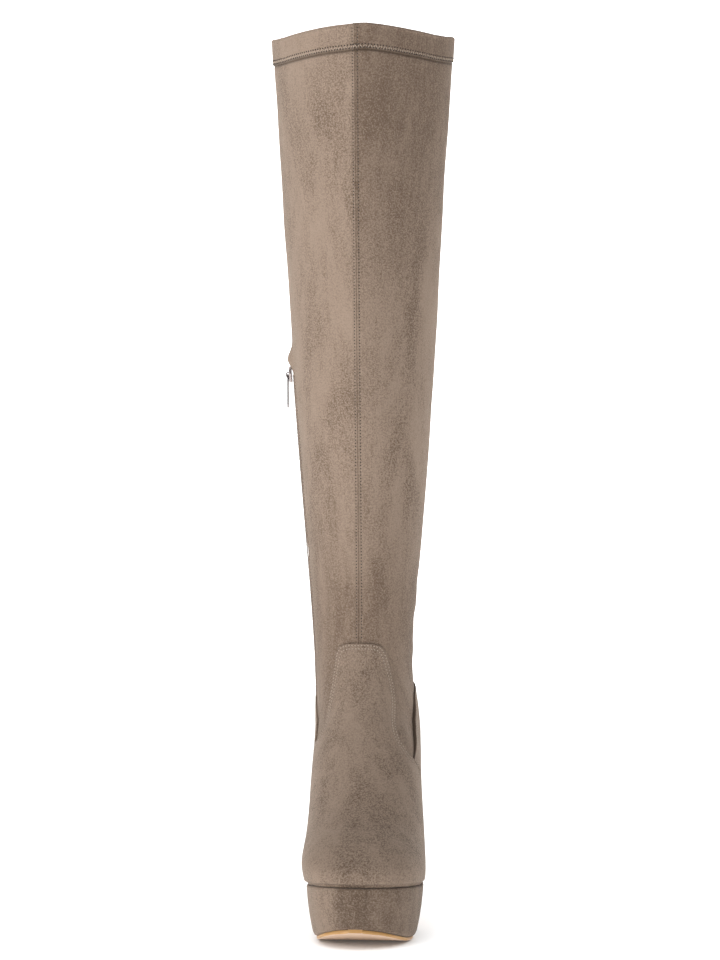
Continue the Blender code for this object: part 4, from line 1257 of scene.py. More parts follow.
def overlay_piece(name, made_of, places, around, stitched, hidden, closed_toe=False,
                  slot=None, proud=None, dark=1.0):
    """Shell over the last on a grid. stitched and hidden are lists of lines at its edges.

    slot gives the distance from a slot that is left in it, proud an added height, and dark
    how deep the shade painted on its edges is.
    """
    points = skin_points(places, around)
    normals = skin_normals(places, around) * NORMAL_SIGN
    from_stitched = edge_distance(points, stitched)
    away = edge_distance(points, stitched + hidden)
    if slot is not None:
        away = np.minimum(away, np.maximum(slot(points), 0.0))
    share = np.clip(away / EDGE_ROLL, 0, 1)
    height = OVERLAY * np.sqrt(1 - (1 - share) ** 2)
    rows_shade = 0.0
    for row in EDGE_ROWS:
        height = height - STITCH_DENT * bump(from_stitched - row, ROW_DENT_REACH)
        rows_shade = rows_shade + ROW_SHADE * bump(from_stitched - row, ROW_SHADE_REACH)
    if proud is not None:
        height = height + proud(points, from_stitched) * np.clip(away / PROUD_FADE, 0, 1)
    height = np.maximum(height, 0.0) + GAP
    outer = points + normals * height[..., None]
    inner = points + normals * OVERLAY_SEAT
    # painted shade: dark on the rolled edge, where its gap would shadow, and in the stitch rows'
    # dents
    shade = dark * np.clip(EDGE_SHADE * bump(away, EDGE_SHADE_REACH) + rows_shade, 0, 1)
    if closed_toe:
        outer = toe_cap(outer, TOE_PUSH)
        inner = toe_cap(inner, TOE_PUSH - OVERLAY)
        shade = np.concatenate((shade, np.repeat(shade[-1:], TOE_CAP_STEPS, 0)))
    item = finish_piece(name, *shell(outer, inner), made_of)
    # painted shade on the hidden inner skin, under the overlay
    inside = np.full(shade.size, INSIDE_SHADE * dark)
    set_attribute(item, "edge", np.concatenate((shade.ravel(), inside)))
    return item


def weld(item):
    """Closes the points where a grid's columns run together."""
    bm = bmesh.new()
    bm.from_mesh(item.data)
    bmesh.ops.remove_doubles(bm, verts=bm.verts[:], dist=WELD)
    bmesh.ops.dissolve_degenerate(bm, edges=bm.edges[:], dist=WELD / 4)
    bmesh.ops.recalc_face_normals(bm, faces=bm.faces[:])
    bm.to_mesh(item.data)
    bm.free()
    return item


# %% Cut and roll the vamp
VAMP_COLUMNS = 96
VAMP_RING = 0.0020
TOE_CAP_STEPS = 6
TOE_PUSH = 0.0011
TONGUE_RINGS = (0.001, 0.004, 0.009, 0.016, 0.026, 0.040, 0.058)
TONGUE_SAMPLES = 600
NEAR_FOOT = 0.0006


def tongue_top_place():
    fine = np.linspace(FIRST_FOOT_ROW - 1, FIRST_FOOT_ROW + 2, TONGUE_SAMPLES)
    inside = in_vamp(skin_points(fine, np.zeros(len(fine))))
    return fine[np.nonzero(inside > 0)[0][0]]


def make_vamp():
    top = tongue_top_place()
    first = list(top + np.array(TONGUE_RINGS))
    places = np.array(first + list(even_places(first[-1] + PLACE_GAP, LAST_ROW, VAMP_RING)))
    rows, left, right = [], [], []
    for place in places:
        low = vamp_limits(place, -1)
        high = vamp_limits(place, 1)
        rows.append(ring_run(place, low, high, VAMP_COLUMNS, (True, True)))
        left.append(skin_point(place, low))
        right.append(skin_point(place, high))
    spread = spread_over(places, VAMP_COLUMNS)
    left = np.array(left)
    right = np.array(right)
    foot = [int(np.argmax(over_sole(line) < NEAR_FOOT)) for line in (left, right)]
    stitched = [np.concatenate((left[:foot[0]][::-1], right[:foot[1]]))]
    hidden = [left[foot[0]:], right[foot[1]:]]
    piece = overlay_piece("vamp_overlay", VAMP_SUEDE, spread, np.array(rows), stitched,
                          hidden, closed_toe=True)
    return piece, stitched


vamp, VAMP_EDGE = make_vamp()
weld(vamp)
declare(vamp, "boot", "suede_vamp", "vamp")

# %% Cut and roll the quarter
QUARTER_COLUMNS = {1: 60, -1: 110}
SLOT_HALF = 0.0036
PROUD_REACH = 0.0060
PROUD_HEIGHT = 0.0013
PROUD_FROM = (0.125, 0.145)
PROUD_TO = (0.176, 0.158)
SLOT_BELOW = 0.0006
QUARTER_SAMPLES = 300
LEAST_RUN = 0.002
AT_BACK = 0.9999
ON_FOOT = 0.001
# share of the painted edge shade on the inner quarter
INNER_DARK = 0.4


def zip_slot(points):
    """Distance from the slot that the zip lies in, negative inside it."""
    return np.maximum(np.abs(points[..., 1] - ZIP_Y) - SLOT_HALF,
                      ZIP_BOTTOM - SLOT_BELOW - points[..., 2])


def stands_proud(points, from_edge):
    """The outer quarter gapes a little in front, where the ankle bends."""
    z = points[..., 2]
    band = smooth_step(z, *PROUD_FROM) * smooth_step(-z, -PROUD_TO[0], -PROUD_TO[1])
    return PROUD_HEIGHT * band * bump(from_edge, PROUD_REACH)


def quarter_places():
    fine = np.linspace(FIRST_FOOT_ROW - 1, FIRST_FOOT_ROW + 14, QUARTER_SAMPLES)
    there = [quarter_limits(place, 1) is not None for place in fine]
    found = fine[np.nonzero(there)[0]]
    return even_places(found[0] + 0.002, found[-1] - 0.01, VAMP_RING)


def make_quarter(side):
    places, rows, front, foot = [], [], [], []
    for place in quarter_places():
        limits = quarter_limits(place, side)
        if limits is None or abs(limits[0] - limits[1]) < LEAST_RUN:
            continue
        back, ahead = limits
        seam = abs(back) > AT_BACK
        places.append(place)
        rows.append(ring_run(place, back, ahead, QUARTER_COLUMNS[side], (not seam, True)))
        front.append(skin_point(place, ahead))
        foot.append(skin_point(place, back))
    spread = spread_over(places, QUARTER_COLUMNS[side])
    low = [point for point in foot if over_sole(point) < ON_FOOT]
    name = "quarter_outer" if side > 0 else "quarter_inner"
    piece = overlay_piece(name, QUARTER_SUEDE, spread, np.array(rows), [front], [low],
                          slot=zip_slot if side < 0 else None,
                          proud=stands_proud if side > 0 else None,
                          dark=1.0 if side > 0 else INNER_DARK)
    weld(piece)
    return piece, front


quarter_inner, QUARTER_INNER_EDGE = make_quarter(-1)
quarter_outer, QUARTER_OUTER_EDGE = make_quarter(1)
for half in (quarter_inner, quarter_outer):
    declare(half, "boot", "suede_quarter", "quarter")

# %% [markdown]
# Platform, heel, sole and sock
#
# Under the last's edge, the feather line, a maker builds up the platform and the heel, wraps
# both in suede, and cements a thin sole under them. All of these follow the feather line, moved
# out or in, so one helper gives pairs of points along it and another stacks such runs into
# a closed body. Lofting a curve would do it too, but the toe's rounding is easier to hold here.

# %% Pairs along the feather line
NOSE = 0.0011
SOLE_SPACING = 0.0022
ARC = np.radians(np.arange(15, 90, 15))


def sole_places(first, last):
    return even_places(FIRST_FOOT_ROW + first, FIRST_FOOT_ROW + last, SOLE_SPACING)


def end_arc(run, k, ahead):
    """Rounds off one end of the runs (half width, y, z, middle) with a small arc."""
    half, y, z, middle = run
    slope = (z[k] - z[k + ahead]) / (y[k] - y[k + ahead])
    reach = NOSE * (1 if ahead > 0 else -1)
    more = (half[k] * np.cos(ARC), y[k] + reach * np.sin(ARC),
            z[k] + slope * reach * np.sin(ARC), np.full(len(ARC), middle[k]))
    if ahead > 0:
        return [np.concatenate((b[::-1], a)) for a, b in zip(run, more)]
    return [np.concatenate((a, b)) for a, b in zip(run, more)]


def feather_pairs(places, outset, round_back=True, round_front=True):
    """Outer and inner points along the feather line from the back, moved out in plan."""
    s = slices_at(places)
    run = [s["feather"] / 2, s["sole_y"], s["sole_z"], s["lean"]]
    if round_back:
        run = end_arc(run, 0, 1)
    if round_front:
        run = end_arc(run, -1, -1)
    half, y, z, middle = run
    count = len(y)
    loop = np.concatenate((np.stack((middle + half, y), 1),
                           np.stack((middle - half, y), 1)[::-1]))
    before = np.roll(loop, 1, axis=0)
    after = np.roll(loop, -1, axis=0)
    if not round_back:
        before[0] = loop[0]
        after[-1] = loop[-1]
    if not round_front:
        after[count - 1] = loop[count - 1]
        before[count] = loop[count]
    step = after - before
    move = np.stack((-step[:, 1], step[:, 0]), 1)
    move = move / np.linalg.norm(move, axis=1, keepdims=True) * outset
    slope = np.gradient(z) / np.gradient(y)
    height = np.concatenate((z, z[::-1])) + move[:, 1] * np.concatenate((slope, slope[::-1]))
    points = np.column_stack((loop + move, height))
    return points[:count], points[count:][::-1]


def stacked(name, levels, made_of, smooth_angle=SHARP_ANGLE):
    """Closed body through levels, each a run of outer and a run of inner points."""
    loops = [np.concatenate((outer, inner[::-1])) for outer, inner in levels]
    count = len(loops[0])
    faces = []
    for k in range(len(loops) - 1):
        for c in range(count):
            n = (c + 1) % count
            faces.append((k * count + c, k * count + n, (k + 1) * count + n,
                          (k + 1) * count + c))
    for first in (0, (len(loops) - 1) * count):
        for c in range(count // 2 - 1):
            faces.append((first + c, first + c + 1, first + count - 2 - c,
                          first + count - 1 - c))
    return outwards(finish_piece(name, np.concatenate(loops), faces, made_of, smooth_angle))


def rolled(drop, reach):
    """How far a rounded edge draws in: 1 at its rim and 0 past its reach."""
    share = np.clip(drop / reach, 0, 1)
    return 1 - math.sqrt(1 - (1 - share) ** 2)


print("feather line", len(feather_pairs(sole_places(7, 18), 0.0)[0]), "pairs")

# %% Wrap the platform
OUTSOLE = 0.0026
PLATFORM_LEDGE = 0.0018
PLATFORM_TAPER = 0.0064
PLATFORM_WALL = np.array(((0.00, 0.00), (0.25, 0.12), (0.50, 0.30), (0.75, 0.55),
                          (0.92, 0.78), (1.00, 1.00)))
PLATFORM_BACK_ROW = 12.2
PLATFORM_BACK_FLOOR = 0.572
PLATFORM_BACK_BLEND = 0.760
PLATFORM_DROPS = (0.0, 0.008, 0.02, 0.04, 0.07, 0.13, 0.22, 0.33, 0.45, 0.57, 0.68, 0.78, 0.86,
                  0.92, 0.96, 0.985, 1.0)
TOP_ROLL = 0.0016
TOP_ROLL_REACH = 0.045
LOW_ROLL = 0.0008
LOW_ROLL_REACH = 0.03
TOE_SPRING = 0.0158
SPRING_START = 0.735
# painted shade on the wrap, darker from here to the outer side, away from the key light
WRAP_PAINTED_SHADE = (-0.013, 0.0)


def floor_height(y):
    """Height of the outsole's underside: flat on the floor, then the toe's spring."""
    start = HEEL_BACK_Y - SPRING_START * FOOT_LENGTH
    share = np.maximum(0.0, (start - y) / ((1 - SPRING_START) * FOOT_LENGTH))
    return TOE_SPRING * share ** 2


def platform_level(drop, inset=0.0):
    """Outer and inner points round the platform, a share of the way down its wall."""
    places = sole_places(PLATFORM_BACK_ROW, len(FOOT_ROWS) - 1)
    top_back = float(slices_at(places[:1])["sole_y"][0])
    floor_back = HEEL_BACK_Y - PLATFORM_BACK_FLOOR * FOOT_LENGTH
    blend = HEEL_BACK_Y - PLATFORM_BACK_BLEND * FOOT_LENGTH
    taper = float(np.interp(drop, PLATFORM_WALL[:, 0], PLATFORM_WALL[:, 1]))
    outset = PLATFORM_LEDGE - taper * PLATFORM_TAPER - inset
    outset -= (TOP_ROLL * rolled(drop, TOP_ROLL_REACH)
               + LOW_ROLL * rolled(1 - drop, LOW_ROLL_REACH))
    level = []
    for side in feather_pairs(places, outset, round_back=False):
        share = np.maximum(0.0, (side[:, 1] - blend) / (top_back - blend))
        y = side[:, 1] + (floor_back - top_back) * share * drop
        z = mix(side[:, 2] - GAP, floor_height(y) + OUTSOLE + GAP, drop)
        level.append(np.column_stack((side[:, 0], y, z)))
    return level


PLATFORM = [platform_level(drop) for drop in PLATFORM_DROPS]
platform = stacked("platform_wrap", PLATFORM, WRAP_SUEDE)
# painted shade: the wrap darker towards its outer side, away from the key light
set_attribute(platform, "nap_and_painted_shade", smooth_step(corners(platform)[:, 0], *WRAP_PAINTED_SHADE))
declare(platform, "boot", "suede_platform", "platform")

# %% Wrap the heel
HEEL_ROWS = np.array(((0.00, 1.00, 0.000, 0.000), (0.12, 0.94, 0.002, -0.010),
                      (0.30, 0.86, 0.006, -0.022), (0.60, 0.77, 0.014, -0.036),
                      (1.00, 0.72, 0.022, -0.050)))
HEEL_BACK_ROW = 6
HEEL_FRONT_ROW = 9.8
HEEL_TIP = 0.0055
HEEL_LEDGE = 0.0004
HEEL_LEVELS = 18


def heel_levels():
    """From the seat down: the heel narrows, and its back and front move towards the toe."""
    places = sole_places(HEEL_BACK_ROW, HEEL_FRONT_ROW)
    seat = feather_pairs(places, HEEL_LEDGE, round_front=False)
    back_y = seat[0][:, 1].max()
    front_y = seat[0][-1, 1]
    middle = float(slices_at(places[:1])["lean"][0])
    levels = []
    for drop in np.linspace(0, 1, HEEL_LEVELS):
        width, back, front = (np.interp(drop, HEEL_ROWS[:, 0], HEEL_ROWS[:, k])
                              for k in (1, 2, 3))
        outer, inner = seat
        share = (outer[:, 1] - back_y) / (front_y - back_y)
        y = outer[:, 1] - mix(back, front, share) * FOOT_LENGTH
        z = mix(outer[:, 2] - GAP, HEEL_TIP + GAP, drop)
        centre = mix((outer[:, 0] + inner[:, 0]) / 2, middle, drop)
        reach = (outer[:, 0] - inner[:, 0]) / 2 * width
        levels.append((np.column_stack((centre + reach, y, z)),
                       np.column_stack((centre - reach, y, z))))
    return levels


heel = stacked("heel_wrap", heel_levels(), WRAP_SUEDE)
declare(heel, "boot", "suede_heel", "heel")

# %% [markdown]
# The tan sole
#
# The sole is a thin sheet of tan synthetic, cemented under the platform, up its back and along
# the waist. Its edge is dyed a warm tan and its underside is paler and a little scuffed, so it
# has two finishes, told apart by which way a face looks.

# %% Finish the sole's edge and underside
def sole_finish(name, light, dark, roughness):
    n = Nodes(name)
    cloud = n.noise(38.0, 4.0, 0.6)
    fine = n.noise(620.0, 3.0, 0.6)
    scuff = n.curve(n.noise(190.0, 2.0, 0.5, n.stretched((0.3, 1.0, 1.0))), 0.58, 0.70)
    tone = n.sum_of((cloud, 0.7), (fine, 0.25), (scuff, 0.10))
    n.colour(n.blend(tone, light, dark))
    n.normal(n.bump(fine, 0.25, 0.0003))
    rough = n.curve(scuff, 0.0, 1.0, roughness, roughness + 0.2)
    n.link(rough, n.shader.inputs["Roughness"])
    return n.material


EDGE_TAN = sole_finish("sole_edge_tan", (0.70, 0.40, 0.150), (0.42, 0.22, 0.075), 0.42)
UNDER_BEIGE = sole_finish("sole_underside", (0.74, 0.54, 0.39), (0.55, 0.39, 0.28), 0.5)

# %% Cut the sole
RISER_INSET = 0.0010
WAIST_INSET = 0.0030
SOLE_INSET = 0.0006
SOLE_STEPS = ((0.00, 0.0005), (0.12, 0.0), (0.72, 0.0), (0.92, 0.0004), (1.00, 0.0010))
UNDERSIDE = -0.55
FACES_BACK = 0.5


def profile_normals(outer, inner):
    step = np.gradient((outer + inner) / 2, axis=0)
    normals = np.column_stack((np.zeros(len(step)), step[:, 2], -step[:, 1]))
    normals[-1] = (0.0, 0.0, -1.0)
    return normals / np.linalg.norm(normals, axis=1, keepdims=True)


def make_sole():
    floor_outer, floor_inner = platform_level(1.0, SOLE_INSET)
    riser = [(level[0][0], level[1][0]) for level in PLATFORM[-2::-1]]
    sink = np.array((RISER_INSET, 0.0, 0.0))
    waist = feather_pairs(sole_places(HEEL_FRONT_ROW + PLACE_GAP, PLATFORM_BACK_ROW - PLACE_GAP),
                          -WAIST_INSET, False, False)
    outer = np.concatenate((floor_outer[::-1], [a - sink for a, _ in riser], waist[0][::-1]))
    inner = np.concatenate((floor_inner[::-1], [b + sink for _, b in riser], waist[1][::-1]))
    normals = profile_normals(outer, inner)
    inwards = (inner - outer) / np.linalg.norm(inner - outer, axis=1, keepdims=True)
    levels = []
    for depth, inset in SOLE_STEPS:
        sunk = normals * (GAP + OUTSOLE * depth)
        levels.append((outer + sunk + inwards * inset, inner + sunk - inwards * inset))
    piece = stacked("tan_sole", levels, [EDGE_TAN, UNDER_BEIGE], 50)
    for poly in piece.data.polygons:
        if poly.normal.z < UNDERSIDE or (
                poly.normal.y > FACES_BACK and poly.normal.z < FACES_BACK):
            poly.material_index = 1
    return piece


declare(make_sole(), "boot", "tan_sole", "outsole")

# %% Lay the sock inside
INSOLE = 0.0025
SOCK_STEPS = ((0.0, 0.0), (0.6, 0.0), (0.9, 0.0004), (1.0, 0.0011))


def sock_cloth():
    """Brushed sock: fine felt with a faint heel-to-toe lie."""
    n = Nodes("sock_cloth")
    felt = n.noise(900.0, 3.0, 0.65, n.stretched((1.0, 0.35, 1.0)))
    cloud = n.noise(30.0, 3.0, 0.5)
    tone = n.sum_of((felt, 0.55), (cloud, 0.5))
    n.colour(n.blend(tone, (0.50, 0.39, 0.29), (0.27, 0.20, 0.15)))
    n.normal(n.bump(felt, 0.5, 0.0004))
    n.put("Roughness", 0.95)
    n.put("Sheen Weight", 0.3)
    return n.material


def make_sock():
    outer, inner = feather_pairs(sole_places(7, 18), -WALL - GAP)
    up = -profile_normals(outer[::-1], inner[::-1])[::-1]
    up[0] = up[1]
    inwards = (inner - outer) / np.linalg.norm(inner - outer, axis=1, keepdims=True)
    levels = []
    for rise, inset in SOCK_STEPS:
        lift = up * (WALL + GAP + INSOLE * rise)
        levels.append((outer + lift + inwards * inset, inner + lift - inwards * inset))
    return stacked("insole_sock", levels, sock_cloth())


declare(make_sock(), "boot", "insole_sock", "insole")

# %% [markdown]
# The zip
#
# A coil zip is two woven tapes with a nylon coil sewn to the edge of each. Closed, the two
# coils mesh into one ribbed ridge. The tapes are a strip laid on the skin, and the coil is one
# small bent bead repeated down a line, which is what Geometry Nodes are for. The same tree
# later lays every stitch, so its inputs are the sizes of a bead: pitch, length, width, height,
# how far it leans to alternate sides, and how far it is shifted along the line.

# %% Weave the tapes
TAPE_HALF = 0.0030
TAPE_COLUMNS = 15
TAPE_THICK = 0.00055
TAPE_RIB = 0.0001
TAPE_RIBS_A_METRE = 2500
TAPE_MEETING = 0.0002
TAPE_MEETING_REACH = 0.0004
ZIP_SAMPLES = 1600
ZIP_RING = 0.0022
ZIP_END = 0.0004


def woven_tape():
    n = Nodes("zip_tape_weave")
    across = n.noise(1400.0, 1.0, 0.5, n.stretched((1.0, 1.0, 0.25)))
    rows = n.noise(1100.0, 1.0, 0.5, n.stretched((0.2, 0.2, 1.0)))
    weave = n.sum_of((across, 0.6), (rows, 0.6))
    n.colour(n.blend(weave, (0.27, 0.20, 0.155), (0.115, 0.082, 0.062)))
    n.normal(n.bump(weave, 0.6, 0.0003))
    n.put("Roughness", 0.85)
    return n.material


def zip_run(arcs, places, girth, zips):
    """Points and normals of the skin at distances to each side of the zip's line."""
    around = np.array([girth.around(row, zips[row] + arcs) for row in range(len(places))])
    spread = spread_over(places, len(arcs))
    return skin_points(spread, around), skin_normals(spread, around) * NORMAL_SIGN


def zip_places():
    fine = np.linspace(place_at_height(ZIP_TOP), FIRST_FOOT_ROW + 9, ZIP_SAMPLES)
    girth = Girth(fine)
    zips = zip_arcs(girth)
    z = np.array([skin_points(fine[k:k + 1], np.array([girth.around(k, zips[k])]))[0, 2]
                  for k in range(len(fine))])
    want = np.arange(ZIP_TOP - ZIP_END, ZIP_BOTTOM + ZIP_END, -ZIP_RING)
    return np.interp(-want, -z, fine)


ZIP_PLACES = zip_places()
ZIP_GIRTH = Girth(ZIP_PLACES)
ZIP_LINE = zip_arcs(ZIP_GIRTH)


def make_tapes():
    arcs = np.linspace(-TAPE_HALF, TAPE_HALF, TAPE_COLUMNS)
    points, normals = zip_run(arcs, ZIP_PLACES, ZIP_GIRTH, ZIP_LINE)
    height = GAP + TAPE_THICK + TAPE_RIB * np.cos(arcs * TAPE_RIBS_A_METRE)
    height -= TAPE_MEETING * bump(arcs, TAPE_MEETING_REACH)
    outer = points + normals * height[None, :, None]
    inner = points + normals * GAP
    tapes = finish_piece("zip_tapes", *shell(outer, inner), woven_tape(), SHARP_ANGLE)
    return outwards(tapes)


declare(make_tapes(), "boot", "zip_chain", "zip")

# %% Build the bead tree
BEAD_INPUTS = (("Pitch", 0.0020), ("Length", 0.0014), ("Width", 0.0005), ("Height", 0.0004),
               ("Lean", 0.0), ("Shift", 0.0))
# from which node and its output to which node and its input
BEAD_LINKS = (
    ("in", "Seam", "curve", "Mesh"), ("curve", "Curve", "even", "Curve"),
    ("in", "Pitch", "even", "Length"), ("even", "Curve", "place", "Points"),
    ("bead", "Mesh", "place", "Instance"), ("outward", "Attribute", "stand", "Vector"),
    ("stand", "Rotation", "turn", "Rotation"), ("tangent", "Tangent", "turn", "Vector"),
    ("turn", "Rotation", "place", "Rotation"), ("in", "Length", "size", "X"),
    ("in", "Width", "size", "Y"), ("in", "Height", "size", "Z"),
    ("size", "Vector", "place", "Scale"), ("index", "Index", "odd", 0),
    ("odd", "Value", "double", 0), ("double", "Value", "lean", 0), ("in", "Lean", "lean", 1),
    ("lean", "Value", "about", "Z"), ("in", "Shift", "along", "X"),
    ("place", "Instances", "shift", "Instances"), ("along", "Vector", "shift", "Translation"),
    ("shift", "Instances", "leaning", "Instances"), ("about", "Vector", "leaning", "Rotation"),
    ("leaning", "Instances", "real", "Geometry"), ("real", "Geometry", "smooth", "Geometry"),
    ("smooth", "Geometry", "finish", "Geometry"), ("in", "Material", "finish", "Material"),
    ("finish", "Geometry", "out", "Beads"),
)
BEAD_SIDES = 6
BEAD_RINGS = 4


def bead_tree():
    """Beads along the edges of a mesh, turned to its "out" attribute."""
    tree = bpy.data.node_groups.new("beads_along_a_seam", "GeometryNodeTree")
    tree.interface.new_socket("Seam", in_out="INPUT", socket_type="NodeSocketGeometry")
    for name, value in BEAD_INPUTS:
        socket = tree.interface.new_socket(name, in_out="INPUT",
                                           socket_type="NodeSocketFloat")
        socket.default_value = value
    tree.interface.new_socket("Material", in_out="INPUT", socket_type="NodeSocketMaterial")
    tree.interface.new_socket("Beads", in_out="OUTPUT", socket_type="NodeSocketGeometry")
    made = {}

    def node(key, kind, **settings):
        made[key] = tree.nodes.new(kind)
        for name, value in settings.items():
            setattr(made[key], name, value)
        return made[key]

    node("in", "NodeGroupInput")
    node("out", "NodeGroupOutput")
    node("curve", "GeometryNodeMeshToCurve")
    node("even", "GeometryNodeResampleCurve", mode="LENGTH")
    node("tangent", "GeometryNodeInputTangent")
    outward = node("outward", "GeometryNodeInputNamedAttribute", data_type="FLOAT_VECTOR")
    outward.inputs["Name"].default_value = "out"
    node("stand", "FunctionNodeAlignRotationToVector", axis="Z")
    node("turn", "FunctionNodeAlignRotationToVector", axis="X", pivot_axis="Z")
    bead = node("bead", "GeometryNodeMeshUVSphere")
    bead.inputs["Segments"].default_value = BEAD_SIDES
    bead.inputs["Rings"].default_value = BEAD_RINGS
    bead.inputs["Radius"].default_value = 0.5
    node("size", "ShaderNodeCombineXYZ")
    node("place", "GeometryNodeInstanceOnPoints")
    node("index", "GeometryNodeInputIndex")
    node("odd", "ShaderNodeMath", operation="MODULO").inputs[1].default_value = 2.0
    double = node("double", "ShaderNodeMath", operation="MULTIPLY_ADD")
    double.inputs[1].default_value = 2.0
    double.inputs[2].default_value = -1.0
    node("lean", "ShaderNodeMath", operation="MULTIPLY")
    node("about", "ShaderNodeCombineXYZ")
    node("leaning", "GeometryNodeRotateInstances")
    node("along", "ShaderNodeCombineXYZ")
    node("shift", "GeometryNodeTranslateInstances")
    node("real", "GeometryNodeRealizeInstances")
    node("smooth", "GeometryNodeSetShadeSmooth")
    node("finish", "GeometryNodeSetMaterial")
    for start, out, end, into in BEAD_LINKS:
        tree.links.new(made[start].outputs[out], made[end].inputs[into])
    return tree


BEADS = bead_tree()
print("bead tree nodes", len(BEADS.nodes))

# %% Run beads along lines
def bead_mesh(name, lines, made_of, sizes):
    """Plain mesh of beads along lines, each line a pair of points and outward normals."""
    verts, edges, outs = [], [], []
    for points, normals in lines:
        first = len(verts)
        verts += [tuple(p) for p in points]
        outs += [tuple(v) for v in normals]
        edges += [(k, k + 1) for k in range(first, len(verts) - 1)]
    path = bpy.data.meshes.new(name + "_line")
    path.from_pydata(verts, edges, [])
    path.attributes.new("out", "FLOAT_VECTOR", "POINT").data.foreach_set(
        "vector", np.array(outs, float).ravel())
    item = linked(name, path)
    run = item.modifiers.new("beads", "NODES")
    run.node_group = BEADS
    inputs = {socket.name: socket.identifier for socket in BEADS.interface.items_tree
              if socket.in_out == "INPUT"}
    for key, value in sizes.items():
        run[inputs[key]] = value
    run[inputs["Material"]] = made_of
    graph = bpy.context.evaluated_depsgraph_get()
    found = bpy.data.meshes.new_from_object(item.evaluated_get(graph))
    item.modifiers.remove(run)
    bpy.data.objects.remove(item, do_unlink=True)
    return found, made_of


def joined(name, parts):
    """One object from several plain meshes, each with its material."""
    bm = bmesh.new()
    mesh = bpy.data.meshes.new(name)
    finishes = []
    for part, made_of in parts:
        if made_of not in finishes:
            finishes.append(made_of)
            mesh.materials.append(made_of)
        first = len(bm.faces)
        bm.from_mesh(part)
        bm.faces.ensure_lookup_table()
        for face in bm.faces[first:]:
            face.material_index = finishes.index(made_of)
    bm.to_mesh(mesh)
    bm.free()
    mesh.shade_smooth()
    return linked(name, mesh)


def thread(name, colour, dark):
    n = Nodes(name)
    twist = n.noise(2600.0, 2.0, 0.5)
    n.colour(n.blend(twist, colour, dark))
    n.normal(n.bump(twist, 0.4, 0.0002))
    n.put("Roughness", 0.7)
    return n.material


COIL = thread("coil_nylon", (0.30, 0.235, 0.19), (0.16, 0.12, 0.095))
coil_points, coil_normals = zip_run(np.array([0.0]), ZIP_PLACES, ZIP_GIRTH, ZIP_LINE)
coil_line = (coil_points[:, 0] + coil_normals[:, 0] * 0.0010, coil_normals[:, 0])
coil = joined("zip_coil", [bead_mesh("coil", [coil_line], COIL, {
    "Pitch": 0.0011, "Length": 0.00085, "Width": 0.0038, "Height": 0.0009, "Lean": 0.10})])
declare(coil, "boot", "zip_chain")

# %% [markdown]
# Stitches
#
# Every seam shows its thread: short raised beads that sink at both ends into needle
# holes, whose shade is painted as small dark beads. The centre seam has a row on each side,
# the vamp and the quarter two rows inside their edges, and the hem a zigzag. A bump texture
# could fake them, but their lines follow the pattern pieces, so real beads are laid along
# lines measured from those edges.

# %% Find the top surface under a line
STAND_OFF = 0.0030
LINE_STEP = 0.0003
LINE_SPACING = 0.0012
LINE_ROUNDS = 3
TOO_NEAR = 0.93
LEAST_POINTS = 4


def surface_tree(items):
    verts, faces = [], []
    for item in items:
        first = len(verts)
        verts += [v.co[:] for v in item.data.vertices]
        faces += [[v + first for v in p.vertices] for p in item.data.polygons]
    return BVHTree.FromPolygons(verts, faces)


TOP_SURFACE = surface_tree([sleeve, vamp, quarter_inner, quarter_outer])


def laid(points, normals):
    """The line dropped onto the outermost surface under it."""
    found = []
    for p, n in zip(points, normals):
        start = Vector(p) + Vector(n) * STAND_OFF
        hit = TOP_SURFACE.ray_cast(start, -Vector(n), 2.5 * STAND_OFF)[0]
        near = hit if hit is not None else TOP_SURFACE.find_nearest(start)[0]
        found.append(np.array(near))
    return np.array(found)


def nearest_normals(points):
    return np.array([GRID_NORMALS[GRID_TREE.find(p)[1]] for p in points])


GRID_NORMALS = LEG_NORMALS.reshape(-1, 3)
GRID_TREE = KDTree(len(GRID_NORMALS))
for k, point in enumerate(LEG_POINTS.reshape(-1, 3)):
    GRID_TREE.insert(point, k)
GRID_TREE.balance()


def smooth_line(line):
    """The line evenly spaced, with its small steps ironed out."""
    line = np.array(dense(list(line), LINE_STEP))
    run = np.concatenate(([0.0], np.cumsum(np.linalg.norm(np.diff(line, axis=0), axis=1))))
    count = max(3, int(run[-1] / LINE_SPACING))
    line = np.stack([np.interp(np.linspace(0, run[-1], count), run, line[:, k])
                     for k in range(3)], 1)
    for _ in range(LINE_ROUNDS):
        line[1:-1] = (line[:-2] + 2 * line[1:-1] + line[2:]) / 4
    return line


def inside_rows(edge, distance, towards):
    """Lines at a distance inside an edge, cut where they come too near to it."""
    edge = smooth_line(edge)
    normals = nearest_normals(edge)
    tangents = np.gradient(edge, axis=0)
    inwards = np.cross(normals, tangents)
    inwards /= np.linalg.norm(inwards, axis=1, keepdims=True)
    if np.sum(inwards * (np.array(towards) - edge), axis=1).mean() < 0:
        inwards = -inwards
    moved = edge + inwards * distance
    far = edge_distance(moved, [edge]) > distance * TOO_NEAR
    lines, run = [], []
    for k, fine in enumerate(far):
        if fine:
            run.append(moved[k])
        if (not fine or k == len(far) - 1) and len(run) > LEAST_POINTS:
            lines.append(np.array(run))
        if not fine:
            run = []
    found = []
    for line in lines:
        normals = nearest_normals(line)
        found.append((laid(line, normals), normals))
    return found


print("stitch surface ready")

